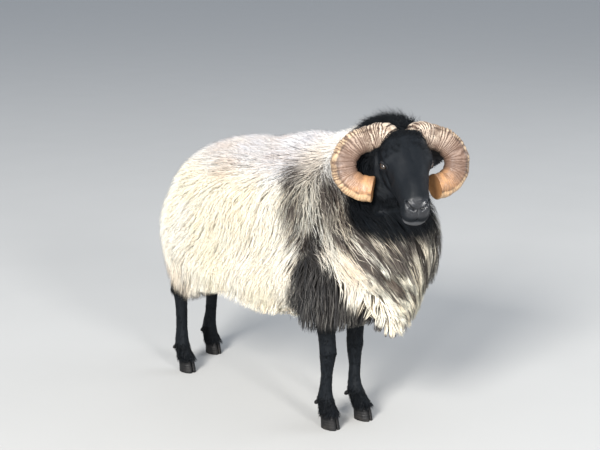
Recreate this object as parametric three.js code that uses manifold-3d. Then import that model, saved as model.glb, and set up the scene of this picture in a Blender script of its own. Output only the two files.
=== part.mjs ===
// A standing horned heath ram, life size: long fleece, bare black face and legs, curled horns with sawn ends.
// Millimetres, +Z up. The ram faces -Y, its left side is +X, and its hooves stand on the floor.
// The origin is the middle of the bottom of its bounding box.
import * as THREE from "three";
import { mergeVertices } from "three/addons/utils/BufferGeometryUtils.js";
import Module from "manifold-3d";

// ---- Driving dimensions ----
const GAP = 0.4; // clearance between touching pieces
const FLEECE_CELL = 50; // facet size of the fleece forms
const FLEECE_BLEND = 70; // how softly the fleece forms run into each other
const SETTLE_MOST = 7; // how far a point of the fleece's facets may move to lie on its forms

const HEAD_AT = [-45, -588, 768]; // midway between the eyes
const HEAD_TURN = 31; // degrees, towards the ram's right
const HEAD_DIP = 38; // degrees that the face slopes down
const HEAD_RINGS = 19;
const HEAD_SIDES = 20;

const EYE_RADIUS = 13.5;
const EYE_FORWARD = 4;
const EYE_OUT = 54; // from the middle of the face to the eye's centre
const EYE_UP = -3;

const HORN_BASE_RADIUS = 32;
const HORN_END_RADIUS = 33;
const HORN_CURL = [-38, 82, -30]; // middle of the ring that a horn makes, in the head's frame
const HORN_RIDGES = 10; // main growth ridges along a horn
const RIDGE_STEPS = 4; // rings of facets to a ridge
const HORN_SIDES = 8;
const RIDGE_HEIGHT = 0.035; // of the radius
const HORN_FLATNESS = 0.84; // thickness across the curl, of the width in its plane

const EAR_LENGTH = 104;
const EAR_WIDTH = 48;
const EAR_ROOT = [-52, 50, -21];
const EAR_ALONG = [-0.34, 0.76, -0.55];
const EAR_WIDE = [0.62, -0.1, -0.6];

const CORONET = 42; // height of the hooves' top edge
const CLAW_LENGTH = 58;
const CLAW_WIDTH = 23;
const CLAW_HALF_CLEFT = 6; // from the leg's middle to a claw's own middle line
const DEWCLAW_RADII = [7.5, 7.2, 2.6]; // root, middle, tip

const wasm = await Module();
wasm.setup();

// ---- Small mathematics ----
const mix = (a, b, t) => a + (b - a) * t;
const clamp01 = (t) => Math.min(1, Math.max(0, t));
const radians = (degrees) => (degrees * Math.PI) / 180;
const BOTH = [1, -1]; // the ram's left and right

function smoothMin(a, b, blend) {
  const h = Math.max(blend - Math.abs(a - b), 0) / blend;
  return Math.min(a, b) - (h * h * blend) / 4;
}

// A soft hump: 1 at the middle, 0 from the radius outwards.
function hump(distance, radius) {
  const left = clamp01(1 - (distance / radius) ** 2);
  return left * left;
}

// Distance to an ellipsoid, near enough for a blended form.
function ellipsoid([x, y, z], [cx, cy, cz], [rx, ry, rz]) {
  const u = [(x - cx) / rx, (y - cy) / ry, (z - cz) / rz];
  const k0 = Math.hypot(...u);
  const k1 = Math.hypot(u[0] / rx, u[1] / ry, u[2] / rz);
  return k1 < 1e-9 ? -Math.min(rx, ry, rz) : (k0 * (k0 - 1)) / k1;
}

// Distance to a bar with round ends, from radius ra at a to radius rb at b.
function bar([x, y, z], a, b, ra, rb) {
  const d = b.map((v, k) => v - a[k]);
  const from = [x - a[0], y - a[1], z - a[2]];
  const t = clamp01((from[0] * d[0] + from[1] * d[1] + from[2] * d[2]) / (d[0] ** 2 + d[1] ** 2 + d[2] ** 2));
  return Math.hypot(from[0] - t * d[0], from[1] - t * d[1], from[2] - t * d[2]) - mix(ra, rb, t);
}

// A smooth curve through rows of numbers: row(t) for t from 0 to 1.
function through(rows) {
  const cubic = (a, b, c, d, u) => {
    const slope = c - a;
    const bend = 2 * a - 5 * b + 4 * c - d;
    const twist = 3 * (b - c) + d - a;
    return b + 0.5 * u * (slope + u * (bend + u * twist));
  };
  return (t) => {
    const at = clamp01(t) * (rows.length - 1);
    const i = Math.min(Math.floor(at), rows.length - 2);
    const [p0, p1, p2, p3] = [-1, 0, 1, 2].map((k) => rows[Math.min(rows.length - 1, Math.max(0, i + k))]);
    return p1.map((v, k) => cubic(p0[k], v, p2[k], p3[k], at - i));
  };
}

// ---- Solids ----
function toSolid(geometry) {
  const bare = geometry.index ? geometry.toNonIndexed() : geometry.clone();
  const position = new THREE.BufferGeometry().setAttribute("position", bare.getAttribute("position"));
  const merged = mergeVertices(position, 1e-3);
  return new wasm.Manifold(
    new wasm.Mesh({
      numProp: 3,
      vertProperties: merged.attributes.position.array,
      triVerts: new Uint32Array(merged.index.array),
    }),
  );
}

function indexed(places, faces) {
  const geometry = new THREE.BufferGeometry();
  geometry.setAttribute("position", new THREE.BufferAttribute(new Float32Array(places), 3));
  geometry.setIndex(faces);
  return geometry;
}

function toGeometry(solid) {
  const mesh = solid.getMesh();
  const places = [];
  for (let i = 0; i < mesh.numVert; i++) {
    places.push(...mesh.vertProperties.subarray(i * mesh.numProp, i * mesh.numProp + 3));
  }
  const geometry = indexed(places, [...mesh.triVerts]);
  geometry.computeVertexNormals();
  return geometry;
}

// A closed skin over rings of points: each ring has the same number of points, and both ends are capped.
function loft(rings) {
  const sides = rings[0].length;
  const places = rings.flat(2);
  const faces = [];
  const at = (ring, side) => ring * sides + (side % sides);
  for (let r = 0; r + 1 < rings.length; r++) {
    for (let s = 0; s < sides; s++) {
      faces.push(at(r, s), at(r, s + 1), at(r + 1, s + 1), at(r, s), at(r + 1, s + 1), at(r + 1, s));
    }
  }
  for (const ring of [0, rings.length - 1]) {
    const middle = places.length / 3;
    places.push(...rings[ring].reduce((sum, p) => sum.map((v, k) => v + p[k] / sides), [0, 0, 0]));
    for (let s = 0; s < sides; s++) {
      const pair = [at(ring, s), at(ring, s + 1)];
      faces.push(middle, ...(ring ? pair : pair.reverse()));
    }
  }
  const solid = toSolid(indexed(places, faces));
  return solid.volume() > 0 ? solid : toSolid(indexed(places, faces.reverse()));
}

// A box as a solid, placed by a matrix.
function block(size, matrix) {
  return toSolid(new THREE.BoxGeometry(...size).applyMatrix4(matrix));
}

// Every whole-number place in a grid of the given counts, from a first place.
function* cells(counts, first) {
  for (let k = first; k < counts[2]; k++) {
    for (let j = first; j < counts[1]; j++) {
      for (let i = first; i < counts[0]; i++) yield [i, j, k];
    }
  }
}

// A point moved down the slope onto the surface where distance(point) is zero, or near it.
function settled(point, distance) {
  const here = distance(point);
  const slope = [0, 1, 2].map((axis) => distance(point.map((v, k) => v + (k === axis ? 1 : 0))) - here);
  const far = Math.min(SETTLE_MOST, Math.max(-SETTLE_MOST, here)) / Math.max(0.5, Math.hypot(...slope));
  return point.map((v, k) => v - far * slope[k]);
}

// The surface where distance(point) is zero, as evenly sized facets: one point in each cell that it crosses,
// and one square around each grid edge that it crosses.
function net(distance, low, high, cell) {
  const counts = low.map((v, k) => Math.ceil((high[k] - v) / cell) + 1);
  const inner = counts.map((v) => v - 1);
  const number = ([i, j, k]) => (k * counts[1] + j) * counts[0] + i;
  const point = (place) => place.map((v, k) => low[k] + v * cell);
  const add = (place, step, sign = 1) => place.map((v, k) => v + sign * step[k]);
  const value = new Map();
  for (const place of cells(counts, 0)) value.set(number(place), distance(point(place)));
  const crosses = (a, b) => value.get(number(a)) < 0 !== value.get(number(b)) < 0;

  const AXES = [[1, 0, 0], [0, 1, 0], [0, 0, 1]];
  const CORNERS = [...cells([2, 2, 2], 0)];
  const EDGES = CORNERS.flatMap((c) => AXES.filter((_, k) => !c[k]).map((axis) => [c, add(c, axis)]));
  const places = [];
  const vertex = new Map();
  for (const place of cells(inner, 0)) {
    const found = [];
    for (const [a, b] of EDGES.map((edge) => edge.map((c) => add(place, c)))) {
      if (!crosses(a, b)) continue;
      const [va, vb] = [value.get(number(a)), value.get(number(b))];
      const [pa, pb] = [point(a), point(b)];
      found.push(pa.map((v, k) => mix(v, pb[k], va / (va - vb))));
    }
    if (!found.length) continue;
    vertex.set(number(place), places.length / 3);
    const middle = [0, 1, 2].map((k) => found.reduce((sum, p) => sum + p[k], 0) / found.length);
    places.push(...settled(middle, distance));
  }

  const faces = [];
  for (const place of cells(inner, 1)) {
    AXES.forEach((axis, k) => {
      if (!crosses(place, add(place, axis))) return;
      const [u, v] = [AXES[(k + 1) % 3], AXES[(k + 2) % 3]];
      const around = [place, add(place, u, -1), add(add(place, u, -1), v, -1), add(place, v, -1)];
      const square = around.map((p) => vertex.get(number(p)));
      if (value.get(number(place)) > 0) square.reverse();
      faces.push(square[0], square[1], square[2], square[0], square[2], square[3]);
    });
  }
  return toSolid(indexed(places, faces));
}

// ---- Fleece: trunk, neck, mane, breeches, upper forelegs and tail as one blended form, out to its tips ----
const paired = (form) => BOTH.map((side) => (p) => form(p, side));
const FLEECE = [
  (p) => ellipsoid(p, [0, 5, 560], [216, 300, 205]), // barrel
  (p) => bar(p, [0, -200, 440], [0, 170, 445], 104, 100), // belly wool
  (p) => ellipsoid(p, [0, 168, 530], [185, 140, 166]), // rump
  (p) => ellipsoid(p, [0, -200, 575], [200, 190, 205]), // shoulders
  (p) => bar(p, [0, -235, 640], [-2, -470, 735], 158, 92), // neck
  (p) => bar(p, [0, -395, 690], [4, -465, 590], 118, 128), // throat
  (p) => ellipsoid(p, [6, -445, 515], [188, 150, 172]), // mane round the chest
  (p) => bar(p, [-4, -475, 430], [-26, -530, 370], 95, 62), // hanging tip of the mane
  (p) => ellipsoid(p, [14, -480, 802], [96, 70, 74]), // black tuft behind the horns
  (p) => bar(p, [0, 330, 590], [0, 370, 415], 36, 24), // tail
  ...paired((p, side) => bar(p, [side * 156, -222, 403], [side * 150, 150, 415], 80, 78)), // belly fringe
  ...paired((p, side) => bar(p, [side * 120, -328, 455], [side * 128, -322, 388], 96, 80)), // foreleg wool
  ...paired((p, side) => bar(p, [side * 90, 205, 470], [side * 80, 296, 325], 106, 58)), // breeches
];

function fleeceDistance(p) {
  return FLEECE.reduce((nearest, form) => smoothMin(nearest, form(p), FLEECE_BLEND), 1e4);
}

// ---- Head, in its own frame: x forward along the face, y to the ram's left, z up from the face ----
const headFrame = new THREE.Matrix4()
  .makeTranslation(...HEAD_AT)
  .multiply(new THREE.Matrix4().makeRotationZ(-radians(90 + HEAD_TURN)))
  .multiply(new THREE.Matrix4().makeRotationY(radians(HEAD_DIP)));
const inHead = (point) => new THREE.Vector3(...point).applyMatrix4(headFrame).toArray();

// Station: distance along the face, top, bottom, half width, height of the widest place.
const headStation = through([
  [-104, 44, -62, 48, -6],
  [-78, 57, -84, 57, -8],
  [-46, 58, -94, 62, -8],
  [-14, 52, -92, 61, -4],
  [14, 45, -84, 58, -4],
  [44, 38, -72, 50, -8],
  [74, 34, -62, 41, -12],
  [102, 27, -59, 36.5, -16],
  [122, 19, -63, 36, -22],
  [136, 5, -66, 34.5, -30],
  [146, -13, -65, 30, -38],
  [153, -27, -56, 19, -42],
]);

// Forms that stand out from the plain head or sink into it: middle, radius, how far.
const FACE_FORMS = [
  [[-4, 56, 18], 27, 6], // brow over the eye
  [[36, 46, -2], 24, -4], // hollow before the eye
  [[-26, 60, -52], 42, 4], // cheek muscle
  [[32, 44, -38], 26, 3], // cheekbone's ridge
  [[92, 0, 30], 34, 3], // arched bridge of the nose
  [[131, 24, -6], 14, 3], // wing of the nostril
  [[116, 37, -46], 20, -3], // corner of the mouth
  [[142, 0, -64], 20, 3], // chin
];

function faceForm([x, y, z]) {
  const push = (middle, radius, far) => {
    return far * hump(Math.hypot(x - middle[0], Math.abs(y) - middle[1], z - middle[2]), radius);
  };
  return FACE_FORMS.reduce((sum, [middle, radius, far]) => sum + push(middle, radius, far), 0);
}

function makeHead() {
  const rings = [];
  for (let r = 0; r < HEAD_RINGS; r++) {
    const [along, top, bottom, half, widest] = headStation(r / (HEAD_RINGS - 1));
    const ring = [];
    for (let s = 0; s < HEAD_SIDES; s++) {
      const angle = (2 * Math.PI * s) / HEAD_SIDES;
      const [c, d] = [Math.cos(angle), Math.sin(angle)];
      const across = Math.sign(c) * Math.abs(c) ** 0.86 * half;
      const up = widest + Math.sign(d) * Math.abs(d) ** 0.94 * (d > 0 ? top - widest : widest - bottom);
      const push = faceForm([along, across, up]);
      ring.push(inHead([along, across + push * c, up + push * d]));
    }
    rings.push(ring);
  }
  return loft(rings);
}

function makeEye(side, grown = 0) {
  const ball = new THREE.SphereGeometry(EYE_RADIUS + grown, 10, 7);
  const place = inHead([EYE_FORWARD, side * EYE_OUT, EYE_UP]);
  return toSolid(ball.applyMatrix4(new THREE.Matrix4().makeTranslation(...place)));
}

// A horn's middle line, from inside the skull, out, round the ear and in again to the cheek.
const hornPath = through([
  [-62, 31, 16],
  [-76, 46, 18],
  [-80, 80, 3],
  [-70, 118, -7],
  [-44, 144, -30],
  [-12, 141, -56],
  [13, 113, -68],
  [28, 79, -63],
]);

function makeHorn(side, grown = 0) {
  const steps = HORN_RIDGES * RIDGE_STEPS;
  const rings = [];
  for (let r = 0; r <= steps; r++) {
    const t = r / steps;
    const here = new THREE.Vector3(...hornPath(t));
    const ahead = new THREE.Vector3(...hornPath(Math.min(1, t + 0.01)));
    const behind = new THREE.Vector3(...hornPath(Math.max(0, t - 0.01)));
    const along = ahead.sub(behind).normalize();
    const outward = here.clone().sub(new THREE.Vector3(...HORN_CURL));
    outward.addScaledVector(along, -outward.dot(along)).normalize();
    const flank = new THREE.Vector3().crossVectors(along, outward);
    const ridge = 1 + RIDGE_HEIGHT * Math.cos(2 * Math.PI * HORN_RIDGES * t);
    const radius = mix(HORN_BASE_RADIUS, HORN_END_RADIUS, t) * ridge;
    const ring = [];
    for (let s = 0; s < HORN_SIDES; s++) {
      const angle = (2 * Math.PI * (s + 0.5)) / HORN_SIDES;
      const p = here
        .clone()
        .addScaledVector(outward, (radius * 1.02 + grown) * Math.cos(angle))
        .addScaledVector(flank, (radius * HORN_FLATNESS + grown) * Math.sin(angle));
      ring.push(inHead([p.x, side * p.y, p.z]));
    }
    rings.push(ring);
  }
  return loft(rings);
}

// An ear is a leaf rolled lengthwise into a shallow scoop that opens forward and down.
function makeEar(side, grown = 0) {
  const STEPS = 7;
  const ACROSS = 5;
  const along = new THREE.Vector3(...EAR_ALONG).normalize();
  const wide = new THREE.Vector3(...EAR_WIDE).normalize();
  wide.addScaledVector(along, -wide.dot(along)).normalize();
  const face = new THREE.Vector3().crossVectors(along, wide);
  const rings = [];
  for (let r = 0; r <= STEPS; r++) {
    const t = r / STEPS;
    const half = (EAR_WIDTH / 2) * Math.sin(Math.PI * mix(0.2, 0.97, t) ** 0.9) + 1.5 + grown;
    const thick = mix(4.5, 1.4, t) + grown;
    const ring = [];
    for (const layer of BOTH) {
      for (let s = 0; s < ACROSS; s++) {
        const u = layer * mix(-1, 1, (s + 0.5) / ACROSS);
        const scoop = (1 - u * u) * half * 0.38;
        const p = new THREE.Vector3(...EAR_ROOT)
          .addScaledVector(along, t * (EAR_LENGTH + grown))
          .addScaledVector(wide, u * half)
          .addScaledVector(face, scoop + layer * thick);
        ring.push(inHead([p.x, side * p.y, p.z]));
      }
    }
    rings.push(ring);
  }
  return loft(rings);
}

// ---- Legs: rows of height, middle across, middle along, half width, half depth ----
const FORELEG_RIGHT = [
  [470, -88, -300, 42, 56],
  [380, -78, -318, 31, 41],
  [310, -70, -327, 25, 31],
  [250, -66, -331, 21.5, 25],
  [216, -64, -333, 22.5, 25],
  [186, -63, -329, 18.5, 21],
  [150, -62, -326, 15, 17.5],
  [112, -62, -323, 15.5, 18.5],
  [86, -61, -320, 19, 24.5],
  [64, -60, -325, 19, 24.5],
  [CORONET, -60, -334, 23, 29.5],
];
const FORELEG_LEFT = [
  [470, 88, -298, 42, 56],
  [380, 74, -306, 31, 41],
  [310, 62, -312, 25, 31],
  [250, 55, -316, 21.5, 25],
  [216, 52, -319, 22.5, 25],
  [186, 50, -320, 18.5, 21],
  [150, 49, -322, 15, 17.5],
  [112, 47, -323, 15.5, 18.5],
  [86, 48, -326, 19, 24.5],
  [64, 50, -335, 19, 24.5],
  [CORONET, 53, -348, 23, 29.5],
];
const HINDLEG_RIGHT = [
  [430, -92, 268, 55, 75],
  [355, -88, 306, 34, 48],
  [305, -85, 322, 24, 37],
  [272, -82, 315, 21.5, 31],
  [240, -80, 307, 18.5, 24],
  [195, -79, 304, 16, 20.5],
  [135, -78, 306, 15.5, 19.5],
  [90, -77, 308, 19.5, 25.5],
  [66, -76, 302, 19, 24.5],
  [CORONET, -75, 290, 23, 29.5],
];
const HINDLEG_LEFT = [
  [430, 92, 292, 55, 75],
  [355, 88, 340, 34, 48],
  [305, 86, 362, 24, 38],
  [272, 86, 362, 21.5, 32],
  [240, 87, 362, 18.5, 25],
  [195, 88, 366, 16, 21.5],
  [135, 90, 376, 15.5, 20],
  [90, 92, 387, 19.5, 25.5],
  [66, 92, 383, 19, 24.5],
  [CORONET, 92, 372, 23, 29.5],
];

function makeLeg(rows) {
  const RINGS = 16;
  const SIDES = 10;
  const station = through(rows);
  const rings = [];
  for (let r = 0; r < RINGS; r++) {
    const [height, x, y, half, deep] = station(r / (RINGS - 1));
    const ring = [];
    for (let s = 0; s < SIDES; s++) {
      const angle = (2 * Math.PI * s) / SIDES;
      ring.push([x + half * Math.cos(angle), y + deep * Math.sin(angle), height]);
    }
    rings.push(ring);
  }
  return loft(rings);
}

// One claw of a cloven hoof: flat sole, sloping toe, straight inner wall. outer is 1 or -1 along X.
function makeClaw(rows, outer) {
  const SIDES = 10;
  const SLICES = [
    // level, width, length, how far back
    [0, 1, 1, 0],
    [0.45, 0.95, 0.94, 2.4],
    [1, 0.86, 0.84, 6],
  ];
  const [, x, y] = rows[rows.length - 1];
  const rings = SLICES.map(([level, wide, long, back]) => {
    const ring = [];
    for (let s = 0; s < SIDES; s++) {
      const angle = (2 * Math.PI * s) / SIDES;
      const [c, d] = [Math.cos(angle), Math.sin(angle)];
      const across = (c > 0 ? c : c * 0.35) * wide * (CLAW_WIDTH - CLAW_HALF_CLEFT);
      const toe = d < 0 ? 1.12 : 0.88;
      ring.push([
        x + outer * (CLAW_HALF_CLEFT + across + Math.min(0, 2 * d)),
        y - 4 + back + (d * toe * long * CLAW_LENGTH) / 2,
        level * (CORONET - GAP),
      ]);
    }
    return ring;
  });
  return loft(rings);
}

// A dewclaw: a short blunt cone on the back of the fetlock.
function makeDewclaw(rows, outer, grown = 0) {
  const SIDES = 6;
  const [height, x, y] = rows[rows.length - 3];
  const root = [x + outer * 9, y + 16, height - 14];
  const tip = [x + outer * 14, y + 37, height - 33];
  const rings = DEWCLAW_RADII.map((bare, r) => {
    const t = r / (DEWCLAW_RADII.length - 1);
    const radius = bare + grown;
    const ring = [];
    for (let s = 0; s < SIDES; s++) {
      const angle = (2 * Math.PI * s) / SIDES;
      ring.push([
        mix(root[0], tip[0], t) + radius * Math.cos(angle),
        mix(root[1], tip[1], t) + radius * Math.sin(angle) * 0.6,
        mix(root[2], tip[2], t) + radius * Math.sin(angle) * 0.8,
      ]);
    }
    return ring;
  });
  return loft(rings);
}

// ---- The whole body, with sockets for eyes, horns, ears and dewclaws ----
const LEGS = {
  foreleg_right: FORELEG_RIGHT,
  foreleg_left: FORELEG_LEFT,
  hindleg_right: HINDLEG_RIGHT,
  hindleg_left: HINDLEG_LEFT,
};
const FLANKS = { left: 1, right: -1 };
const CLAWS = { outer: 1, inner: -1 };

const made = new Map(); // node name to solid
let body = net(fleeceDistance, [-325, -760, 180], [325, 520, 940], FLEECE_CELL).add(makeHead());
for (const rows of Object.values(LEGS)) body = body.add(makeLeg(rows));

for (const [name, side] of Object.entries(FLANKS)) {
  made.set("horn_" + name, makeHorn(side));
  made.set("eye_" + name, makeEye(side));
  made.set("ear_" + name, makeEar(side).subtract(makeHorn(side, GAP)));
  for (const grownCopy of [makeHorn, makeEye, makeEar]) body = body.subtract(grownCopy(side, GAP));
}
for (const [leg, rows] of Object.entries(LEGS)) {
  const side = leg.endsWith("left") ? 1 : -1;
  for (const [which, out] of Object.entries(CLAWS)) {
    made.set(leg + "_claw_" + which, makeClaw(rows, side * out));
    made.set(leg + "_dewclaw_" + which, makeDewclaw(rows, side * out));
    body = body.subtract(makeDewclaw(rows, side * out, GAP));
  }
}

// ---- Thin cuts: each region is a box that takes its part out of the body ----
const placed = (at, turnX = 0) =>
  new THREE.Matrix4().makeTranslation(...at).multiply(new THREE.Matrix4().makeRotationX(radians(turnX)));
const REGIONS = [
  // name, size, place
  ["tail", [110, 160, 300], placed([0, 424, 500], 11)],
  ["foreleg_left", [254, 240, 470], placed([143, -330, 215])],
  ["foreleg_right", [254, 240, 470], placed([-143, -330, 215])],
  ["hindleg_left", [250, 300, 430], placed([137, 330, 195], -16)],
  ["hindleg_right", [250, 300, 430], placed([-137, 330, 195], -16)],
  ["head", [300, 190, 250], headFrame.clone().multiply(new THREE.Matrix4().makeTranslation(72, 0, 27))],
  ["neck", [700, 700, 1300], placed([0, -652, 640], -20)],
];
for (const [name, size, matrix] of REGIONS) {
  made.set(name, body.intersect(block(size, matrix)));
  body = body.subtract(block(size.map((v) => v + 2 * GAP), matrix));
}
made.set("trunk", body);

// ---- Materials and nodes ----
const finish = (color, roughness) => new THREE.MeshStandardMaterial({ color, roughness, metalness: 0 });
const WOOL = finish(0xcfc3ad, 0.95);
const DARK_HAIR = finish(0x17171a, 0.8);
const HORN = finish(0xa98a66, 0.6);
const HOOF = finish(0x1c1a19, 0.5);
const EYE = finish(0x2a1c10, 0.08);

function materialOf(name) {
  if (name.includes("claw")) return HOOF;
  if (name.startsWith("horn")) return HORN;
  if (name.startsWith("eye")) return EYE;
  if (name.startsWith("head") || name.startsWith("ear") || name.includes("leg")) return DARK_HAIR;
  return WOOL;
}

const ram = new THREE.Group();
ram.name = "ram";
for (const [name, solid] of made) {
  const mesh = new THREE.Mesh(toGeometry(solid), materialOf(name));
  mesh.name = name;
  ram.add(mesh);
}
const bounds = new THREE.Box3().setFromObject(ram, true);
const middle = bounds.getCenter(new THREE.Vector3());
ram.position.set(-middle.x, -middle.y, -bounds.min.z);

export default ram;
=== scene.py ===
"""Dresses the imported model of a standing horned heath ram: skin, coat, horns, eyes and hooves, and a stage.

Places are in metres in the row frame: the ram faces -Y, its left side is +X, its hooves stand on z = 0.
Places on the head are in millimetres in the head's own frame: x along the face, y to the ram's left, z up.
"""

import math

import bmesh
import bpy
import numpy as np
from bpy.props import FloatProperty, FloatVectorProperty, IntProperty, PointerProperty
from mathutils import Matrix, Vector
from mathutils.bvhtree import BVHTree
from mathutils.kdtree import KDTree


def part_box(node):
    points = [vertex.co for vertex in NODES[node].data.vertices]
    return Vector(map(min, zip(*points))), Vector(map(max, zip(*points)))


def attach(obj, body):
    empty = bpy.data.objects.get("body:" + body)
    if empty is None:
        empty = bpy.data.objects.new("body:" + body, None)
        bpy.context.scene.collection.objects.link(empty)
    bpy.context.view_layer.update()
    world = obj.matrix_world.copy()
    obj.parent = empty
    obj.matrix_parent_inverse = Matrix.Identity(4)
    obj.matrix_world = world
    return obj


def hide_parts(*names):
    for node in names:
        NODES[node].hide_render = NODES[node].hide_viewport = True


bl_info = {
    "name": "Horned heath ram",
    "version": (1, 0, 0),
    "blender": (4, 5, 0),
    "location": "3D View > Sidebar > Ram",
    "description": "Skin, long fleece, horns, eyes and hooves around the packed ram",
    "category": "Add Mesh",
}

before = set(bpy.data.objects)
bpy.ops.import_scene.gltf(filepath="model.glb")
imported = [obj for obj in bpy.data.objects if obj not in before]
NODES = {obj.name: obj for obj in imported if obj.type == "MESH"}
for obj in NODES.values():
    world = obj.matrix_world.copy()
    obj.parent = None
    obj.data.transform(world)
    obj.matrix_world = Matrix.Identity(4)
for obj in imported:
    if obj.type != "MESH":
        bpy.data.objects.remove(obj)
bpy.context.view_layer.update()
BODY = "root"
BAKE_UV = "OFBake"
MM = 0.001
SIDES = {"left": 1, "right": -1}
LEGS = ("foreleg_right", "foreleg_left", "hindleg_right", "hindleg_left")
FLESH = ("head", "neck", "trunk", "tail") + LEGS

# ---- The head's frame, worked out from the two eyes ----
HEAD_DIP = math.radians(38)  # how far the face slopes down
EYE_PLACE = np.array((4.0, 54.0, -3.0))  # the left eye's centre


def node_centre(name):
    low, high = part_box(name)
    return np.array((low + high) / 2)


def head_axes():
    """The head frame's axes, as the columns of a matrix, and its origin."""
    left, right = node_centre("eye_left"), node_centre("eye_right")
    across = (left - right) / np.linalg.norm(left - right)
    level = np.array((across[1], -across[0], 0.0))
    ahead = level * math.cos(HEAD_DIP) - np.array((0, 0, math.sin(HEAD_DIP)))
    axes = np.stack((ahead, across, np.cross(ahead, across)), axis=1)
    middle = EYE_PLACE * (1, 0, 1) * MM
    return axes, (left + right) / 2 - axes @ middle


HEAD_AXES, HEAD_ORIGIN = head_axes()


def from_head(points):
    """Head frame, millimetres, to the row frame, metres."""
    return np.asarray(points, float) * MM @ HEAD_AXES.T + HEAD_ORIGIN


def to_head(points):
    return (points - HEAD_ORIGIN) @ HEAD_AXES / MM


# ---- Small mathematics ----
def step_up(value, low, high):
    """0 below low, 1 above high, smooth between; low may be the larger one."""
    t = np.clip((value - low) / (high - low), 0, 1)
    return t * t * (3 - 2 * t)


def blended(start, *changes):
    """A start drawn towards each value in turn, by that value's share from 0 to 1."""
    for value, share in changes:
        start = start + (value - start) * share
    return start


def unit(vectors):
    return vectors / np.maximum(np.linalg.norm(vectors, axis=-1, keepdims=True), 1e-9)


def along_surface(vectors, normals):
    """The part of each vector that lies in the surface, at length 1."""
    return unit(vectors - normals * (vectors * normals).sum(-1, keepdims=True))


def through(rows, t):
    """A smooth curve through rows of numbers, at each t from 0 to 1."""
    rows = np.asarray(rows, float)
    at = np.clip(np.asarray(t, float), 0, 1) * (len(rows) - 1)
    i = np.minimum(at.astype(int), len(rows) - 2)
    a, b, c, d = (rows[np.clip(i + k, 0, len(rows) - 1)] for k in (-1, 0, 1, 2))
    u = (at - i)[:, None]
    return b + 0.5 * u * (c - a + u * (2 * a - 5 * b + 4 * c - d + u * (3 * (b - c) + d - a)))


def hash_noise(cells):
    """A number from 0 to 1 for each whole-number place, always the same."""
    mixed = np.sin(cells @ np.array((127.1, 311.7, 74.7))) * 43758.5453
    return mixed - np.floor(mixed)


def cloud(points, size):
    """Smooth noise from 0 to 1 with patches of about that size."""
    at = points / size
    base = np.floor(at)
    f = at - base
    f = f * f * (3 - 2 * f)
    total = np.zeros(len(points))
    for corner in np.ndindex(2, 2, 2):
        weight = np.prod(np.where(corner, f, 1 - f), axis=1)
        total += weight * hash_noise(base + corner)
    return total


def nearest_distance(points, line):
    """Distance from each point to a line through a few points."""
    best = np.full(len(points), 1e9)
    for a, b in zip(line[:-1], line[1:]):
        a, b = np.asarray(a, float), np.asarray(b, float)
        t = np.clip((points - a) @ (b - a) / max((b - a) @ (b - a), 1e-9), 0, 1)
        best = np.minimum(best, np.linalg.norm(points - a - t[:, None] * (b - a), axis=1))
    return best


# ---- Meshes ----
def new_object(name, data):
    obj = bpy.data.objects.new(name, data)
    bpy.context.scene.collection.objects.link(obj)
    return obj


def new_mesh(name, points, faces):
    mesh = bpy.data.meshes.new(name)
    mesh.from_pydata(np.asarray(points, float), [], faces)
    mesh.shade_smooth()
    return mesh


def read(parts, name, width, kind=np.float32):
    """One property of every part of a mesh, as rows of that many numbers."""
    flat = np.empty(len(parts) * width, kind)
    parts.foreach_get(name, flat)
    return flat.reshape(-1, width)


def points_of(mesh):
    return read(mesh.vertices, "co", 3).astype(float)


def edges_of(mesh):
    return read(mesh.edges, "vertices", 2, np.int32)


def triangles_of(mesh):
    mesh.calc_loop_triangles()
    return read(mesh.loop_triangles, "vertices", 3, np.int32)


def set_points(mesh, points):
    mesh.vertices.foreach_set("co", points.astype(np.float32).ravel())
    mesh.update()


def set_values(mesh, name, values, kind="FLOAT", field="value"):
    """A named value for each point of a mesh."""
    attribute = mesh.attributes.new(name, kind, "POINT")
    attribute.data.foreach_set(field, np.asarray(values, np.float32).ravel())


def set_coat_colour(mesh, colours):
    filled = np.concatenate((colours, np.ones((len(colours), 1))), axis=1)
    set_values(mesh, "coat_colour", filled, "FLOAT_COLOR", "color")


def set_bake_map(mesh, spots):
    """The bake map's spot for each face corner."""
    layer = mesh.uv_layers.new(name=BAKE_UV)
    layer.data.foreach_set("uv", spots.astype(np.float32).ravel())


def relaxed(points, edges, rounds, share, back=0.0):
    """Points moved by a share of the way to their neighbours' middle, and back again if back is given."""
    share = np.broadcast_to(np.asarray(share, float), len(points))[:, None]
    n = len(points)
    a, b = edges[:, 0], edges[:, 1]
    count = np.maximum(np.bincount(a, minlength=n) + np.bincount(b, minlength=n), 1)[:, None]
    for _ in range(rounds):
        for pull in (1.0, -back) if back else (1.0,):
            middle = np.stack(
                [
                    np.bincount(a, weights=points[b, k], minlength=n)
                    + np.bincount(b, weights=points[a, k], minlength=n)
                    for k in range(points.shape[1])
                ],
                axis=1,
            ) / count
            points = points + share * pull * (middle - points)
    return points


def remeshed(source, voxel):
    """A bmesh as one closed mesh of even squares."""
    mesh = bpy.data.meshes.new("remesh")
    source.to_mesh(mesh)
    source.free()
    obj = new_object("remesh", mesh)
    modifier = obj.modifiers.new("voxels", "REMESH")
    modifier.mode = "VOXEL"
    modifier.voxel_size = voxel
    depsgraph = bpy.context.evaluated_depsgraph_get()
    made = bpy.data.meshes.new_from_object(obj.evaluated_get(depsgraph))
    bpy.data.objects.remove(obj)
    bpy.data.meshes.remove(mesh)
    return made


def add_ball(target, centre, radii):
    ball = bmesh.ops.create_icosphere(target, subdivisions=3, radius=1)
    for v in ball["verts"]:
        v.co = Vector(centre) + Vector(np.array(v.co) * radii)


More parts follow.
